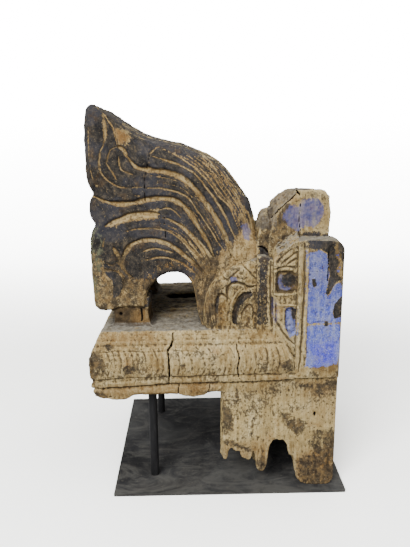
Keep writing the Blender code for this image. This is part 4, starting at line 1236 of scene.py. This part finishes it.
def bare_wood(m):
    """Bare wood, lighter on the ridges and dirty in the hollows, with painted shade on undersides, under the plume
    and on the props.
    """
    tan = m.ramp(m.blend((m.broad, 0.30), (m.streak, 0.35), (m.blotch, 0.35)), (0.40, 126, 102, 64),
                 (0.47, 168, 144, 98), (0.53, 190, 168, 120), (0.61, 208, 190, 146))
    tan = m.tint(tan, m.step(m.fibre, 0.57, 0.42), 0.35, 110, 88, 54)
    tan = m.tint(tan, m.step(m.hollow, 0.44, 0.10), 0.28, 220, 202, 156)
    tan = m.tint(tan, m.orange, 0.78, 118, 82, 44)
    stub = m.times(m.step(m.height, 0.150, 0.125), m.step(m.height, 0.050, 0.085))
    tan = m.tint(tan, stub, 0.20, 240, 216, 152)
    tan = m.tint(tan, m.step(m.noise(46, 4, 0.6), 0.56, 0.70), 0.40, 138, 98, 54)
    edge = m.minus(m.step(m.line, 0.05, 0.25), m.step(m.plus(m.line, m.about(m.flake, 0.8)), 0.55, 0.90))
    tan = m.tint(tan, edge, 0.56, 116, 86, 52)
    crumbs = m.times(m.line, m.step(m.plus(m.about(m.flake, 1.0), m.about(m.mottle, 0.7)), 0.0, 0.10))
    tan = m.tint(tan, m.line, 0.40, 176, 148, 102)
    tan = m.tint(tan, crumbs, 0.70, 104, 78, 46)
    # Dirt in flecks, thicker in the hollows and where the mask of stains says
    amount = m.plus(m.about(m.flake, 1.0), m.about(m.blotch, 0.8))
    amount = m.plus(m.plus(amount, m.times(m.recess, 0.26)), m.times(m.stain, 0.12))
    dirt = m.times(m.step(amount, 0.07, 0.16), m.minus(1.0, m.times(m.line, 0.3)))
    tan = m.tint(tan, dirt, 0.66, 84, 72, 55)
    smudge = m.broken(m.stain, 0.26, 0.86, (m.flake, 1.7), (m.blotch, 1.5), (m.speck, 0.9))
    grime = m.ramp(m.mottle, (0.40, 48, 43, 38), (0.50, 74, 65, 53), (0.60, 114, 94, 64))
    tan = m.mix(m.times(smudge, 0.84), tan, grime)
    tan = m.tint(tan, m.step(m.speck, 0.60, 0.66), 0.80, 50, 43, 35)
    tan = m.tint(tan, m.step(m.speck, 0.38, 0.31), 0.50, 224, 208, 170)
    # Painted shade on undersides, under the plume and on the props
    return m.tint(tan, m.under, 0.80, 66, 54, 40)


def black_paint(m):
    """Blackened paint and what shows through it."""
    soot = m.ramp(m.blend((m.mottle, 0.5), (m.flake, 0.5)), (0.39, 33, 32, 32), (0.47, 50, 48, 46),
                  (0.54, 68, 63, 57), (0.63, 98, 88, 72), (0.74, 130, 114, 86))
    soot = m.tint(soot, m.step(m.broad, 0.46, 0.58), 0.38, 72, 73, 82)
    soot = m.tint(soot, m.step(m.blotch, 0.54, 0.66), 0.40, 92, 72, 48)
    fibres = m.step(m.plus(m.about(m.fibre, 0.7), m.about(m.flake, 0.8)), 0.11, 0.19)
    soot = m.tint(soot, fibres, 0.40, 122, 100, 68)
    soot = m.tint(soot, m.step(m.speck, 0.63, 0.68), 0.55, 172, 152, 116)
    return m.tint(soot, m.step(m.speck, 0.40, 0.33), 0.55, 20, 19, 19)


def azure_paint(m):
    """Blue paint, worn in streaks along the grain."""
    azure = m.ramp(m.blend((m.streak, 0.6), (m.flake, 0.4)), (0.38, 52, 62, 168), (0.47, 92, 106, 196),
                   (0.54, 124, 136, 204), (0.64, 166, 170, 196))
    azure = m.tint(azure, m.step(m.height, 0.250, 0.310), 0.60, 76, 84, 146)
    azure = m.tint(azure, m.orange, 1.2, 74, 70, 220)
    azure = m.tint(azure, m.step(m.speck, 0.57, 0.64), 0.80, 60, 58, 66)
    azure = m.tint(azure, m.step(m.speck, 0.42, 0.34), 0.70, 200, 204, 216)
    return m.tint(azure, m.step(m.mottle, 0.46, 0.60), 0.42, 150, 152, 172)


def timber_material():
    m = TimberNodes()
    dark = m.broken(m.dark, 0.38, 0.56, (m.flake, 1.9), (m.speck, 1.0), (m.streak, 0.8))
    colour = m.mix(dark, bare_wood(m), black_paint(m))
    moss = m.times(m.green, m.step(m.plus(m.about(m.flake, 0.9), m.about(m.mottle, 0.9)), -0.04, 0.12))
    colour = m.tint(colour, moss, 0.62, 116, 120, 92)
    blue = m.broken(m.blue, 0.44, 0.60, (m.flake, 1.7), (m.streak, 1.7), (m.speck, 1.0))
    colour = m.mix(m.times(blue, 0.95), colour, azure_paint(m))
    lilac = m.ramp(m.blend((m.mottle, 0.5), (m.streak, 0.5)), (0.38, 62, 68, 130), (0.50, 98, 102, 152),
                   (0.62, 128, 126, 140))
    violet = m.broken(m.violet, 0.42, 0.72, (m.flake, 1.5), (m.streak, 1.0), (m.speck, 0.7))
    colour = m.mix(m.times(violet, 0.66), colour, lilac)
    # Dust and the grey of weathered ends
    cloud = m.blend((m.mottle, 0.6), (m.flake, 0.4))
    powder = m.ramp(cloud, (0.38, 93, 88, 79), (0.50, 135, 130, 119), (0.62, 164, 160, 149))
    ash = m.ramp(cloud, (0.38, 66, 60, 53), (0.47, 98, 91, 81), (0.55, 126, 118, 105), (0.66, 158, 149, 133))
    dust = m.broken(m.dust, 0.22, 0.80, (m.flake, 0.6), (m.streak, 0.3))
    colour = m.mix(m.times(dust, 0.86), colour, powder)
    grey = m.broken(m.grey, 0.30, 0.75, (m.flake, 1.3), (m.fibre, 0.8))
    colour = m.mix(m.times(grey, 0.78), colour, ash)
    # Painted shade in the recesses, then black in cracks and holes
    colour = m.tint(colour, m.recess, 0.45, 46, 36, 26)
    colour = m.mix(m.step(m.pit, 0.25, 0.60), colour, (*srgb(14, 11, 9), 1))
    rough = m.minus(m.plus(0.80, m.times(m.mottle, 0.18)), m.times(dark, 0.14))
    normal = m.bump(m.fibre, 0.5, 0.0008)
    normal = m.bump(m.plus(m.flake, m.mottle), 0.9, 0.0016, normal)
    return m.finish(colour, rough, 0.02, m.bump(m.plus(dark, blue), 0.5, 0.0004, normal))


def steel_material():
    m = Nodes("blackened_steel_plate")
    cloud = m.noise(9, 6, 0.62, warp=0.8)
    fine = m.noise(190, 4, 0.68)
    scuff = m.noise(22, 6, 0.72, (0.5, 1.0, 1.0), 2.4)
    sweep = m.noise(12, 5, 0.7, (1.0, 0.45, 1.0), 2.8)
    colour = m.ramp(cloud, (0.38, 34, 34, 35), (0.50, 48, 48, 49), (0.64, 70, 70, 69))
    # Scuffs, and lighter towards the plate's front edge
    dust = m.plus(m.minus(scuff, 0.5), m.times(m.step(m.axis("Y"), 0.0, -0.13), 0.10))
    colour = m.tint(colour, m.step(dust, -0.06, 0.22), 0.42, 112, 110, 104)
    colour = m.tint(colour, m.step(sweep, 0.46, 0.68), 0.30, 84, 81, 76)
    colour = m.tint(colour, m.step(fine, 0.58, 0.68), 0.40, 96, 92, 84)
    return m.finish(colour, m.plus(0.72, m.times(cloud, 0.25)), 0.04, m.bump(fine, 0.25, 0.0004))


def rod_material():
    m = Nodes("blackened_steel_rods")
    fine = m.noise(300, 4, 0.65, (1, 1, 0.2))
    colour = m.ramp(fine, (0.35, 18, 18, 19), (0.6, 28, 28, 29), (0.8, 50, 48, 46))
    return m.finish(colour, m.plus(0.45, m.times(fine, 0.25)), 0.15, m.bump(fine, 0.2, 0.0003))


def floor_material():
    """Pale paper that glows where it rises behind the object."""
    m = Nodes("pale_paper")
    colour = m.add("ValToRGB", Fac=m.noise(3.0, 3, 0.5))
    for mark, (at, *rgb) in zip(colour.color_ramp.elements, ((0.3, 0.90, 0.905, 0.87), (0.7, 0.94, 0.945, 0.915))):
        mark.position = at
        mark.color = (*rgb, 1.0)
    glow = m.blend((m.step(m.axis("Y"), 0.25, 2.0), 9.0), (m.step(m.axis("Z"), 0.05, 0.9), 9.0))
    m.link((1.0, 1.0, 1.0, 1.0), m.shader.inputs["Emission Color"])
    m.link(glow, m.shader.inputs["Emission Strength"])
    return m.finish(colour.outputs["Color"], 0.9, 0.1)


def make_floor():
    """A sheet of pale paper that curves up behind the object."""
    bend, top, side = 1.2, 5.0, 5.0
    profile = [(-4.0, 0.0), (bend, 0.0)]
    profile += [(bend + math.sin(a), 1.0 - math.cos(a)) for a in np.linspace(0.1, math.pi / 2, 14)]
    profile += [(bend + 1.0, top)]
    mesh = bpy.data.meshes.new("backdrop")
    points = [(x, y, z) for y, z in profile for x in (-side, side)]
    mesh.from_pydata(points, [], [(2 * i, 2 * i + 1, 2 * i + 3, 2 * i + 2) for i in range(len(profile) - 1)])
    mesh.shade_smooth()
    floor = placed("backdrop", mesh)
    mesh.materials.append(floor_material())
    floor.visible_diffuse = False
    floor.visible_glossy = False


def add_light(name, place, target, size, power):
    data = bpy.data.lights.new(name, "AREA")
    data.shape = "RECTANGLE"
    data.size = data.size_y = size
    data.energy = power
    light = placed(name, data)
    light.location = place
    light.rotation_euler = (Vector(target) - Vector(place)).to_track_quat("-Z", "Y").to_euler()


def set_stage():
    """The backdrop, the lights, and the camera that took the photograph."""
    make_floor()
    world = bpy.data.worlds.new("studio")
    world.use_nodes = True
    tree = world.node_tree
    place = tree.nodes.new("ShaderNodeTexCoord")
    height = tree.nodes.new("ShaderNodeSeparateXYZ")
    glow = tree.nodes.new("ShaderNodeMapRange")
    tree.links.new(place.outputs["Generated"], height.inputs[0])
    tree.links.new(height.outputs["Z"], glow.inputs["Value"])
    for name, value in (("From Min", -0.5), ("From Max", 0.3), ("To Min", 0.8), ("To Max", 2.15)):
        glow.inputs[name].default_value = value
    tree.nodes["Background"].inputs["Color"].default_value = (1.0, 1.0, 1.0, 1)
    tree.links.new(glow.outputs[0], tree.nodes["Background"].inputs["Strength"])
    bpy.context.scene.world = world
    for light in LIGHTS:
        add_light(*light)
    data = bpy.data.cameras.new("camera")
    data.sensor_fit = "VERTICAL"
    data.sensor_height = 36.0
    data.lens = FOCAL_PIXELS * data.sensor_height / PHOTO_PIXELS
    data.clip_start = 0.05
    camera = placed("camera", data)
    pitch, roll, yaw = (math.radians(a) for a in CAMERA_TURN)
    ahead = Vector((math.sin(yaw) * math.cos(pitch), math.cos(yaw) * math.cos(pitch), -math.sin(pitch)))
    right = Vector((math.cos(yaw), -math.sin(yaw), 0.0))
    down = ahead.cross(right)
    across = right * math.cos(roll) + down * math.sin(roll)
    up = right * math.sin(roll) - down * math.cos(roll)
    turn = Matrix((across, up, -ahead)).transposed().to_4x4()
    camera.matrix_world = Matrix.Translation(CAMERA_PLACE) @ turn
    bpy.context.scene.camera = camera


def main():
    material = timber_material()
    for piece in make_timber(draw_sheet()):
        piece.data.materials.clear()
        piece.data.materials.append(material)
        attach(piece, "root")
        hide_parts("carved_capital")
    plate, rods = steel_material(), rod_material()
    for name, steel in (("base_plate", plate), ("rod_front", rods), ("rod_rear", rods)):
        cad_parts[name].material_slots[0].material = steel
    set_stage()


main()
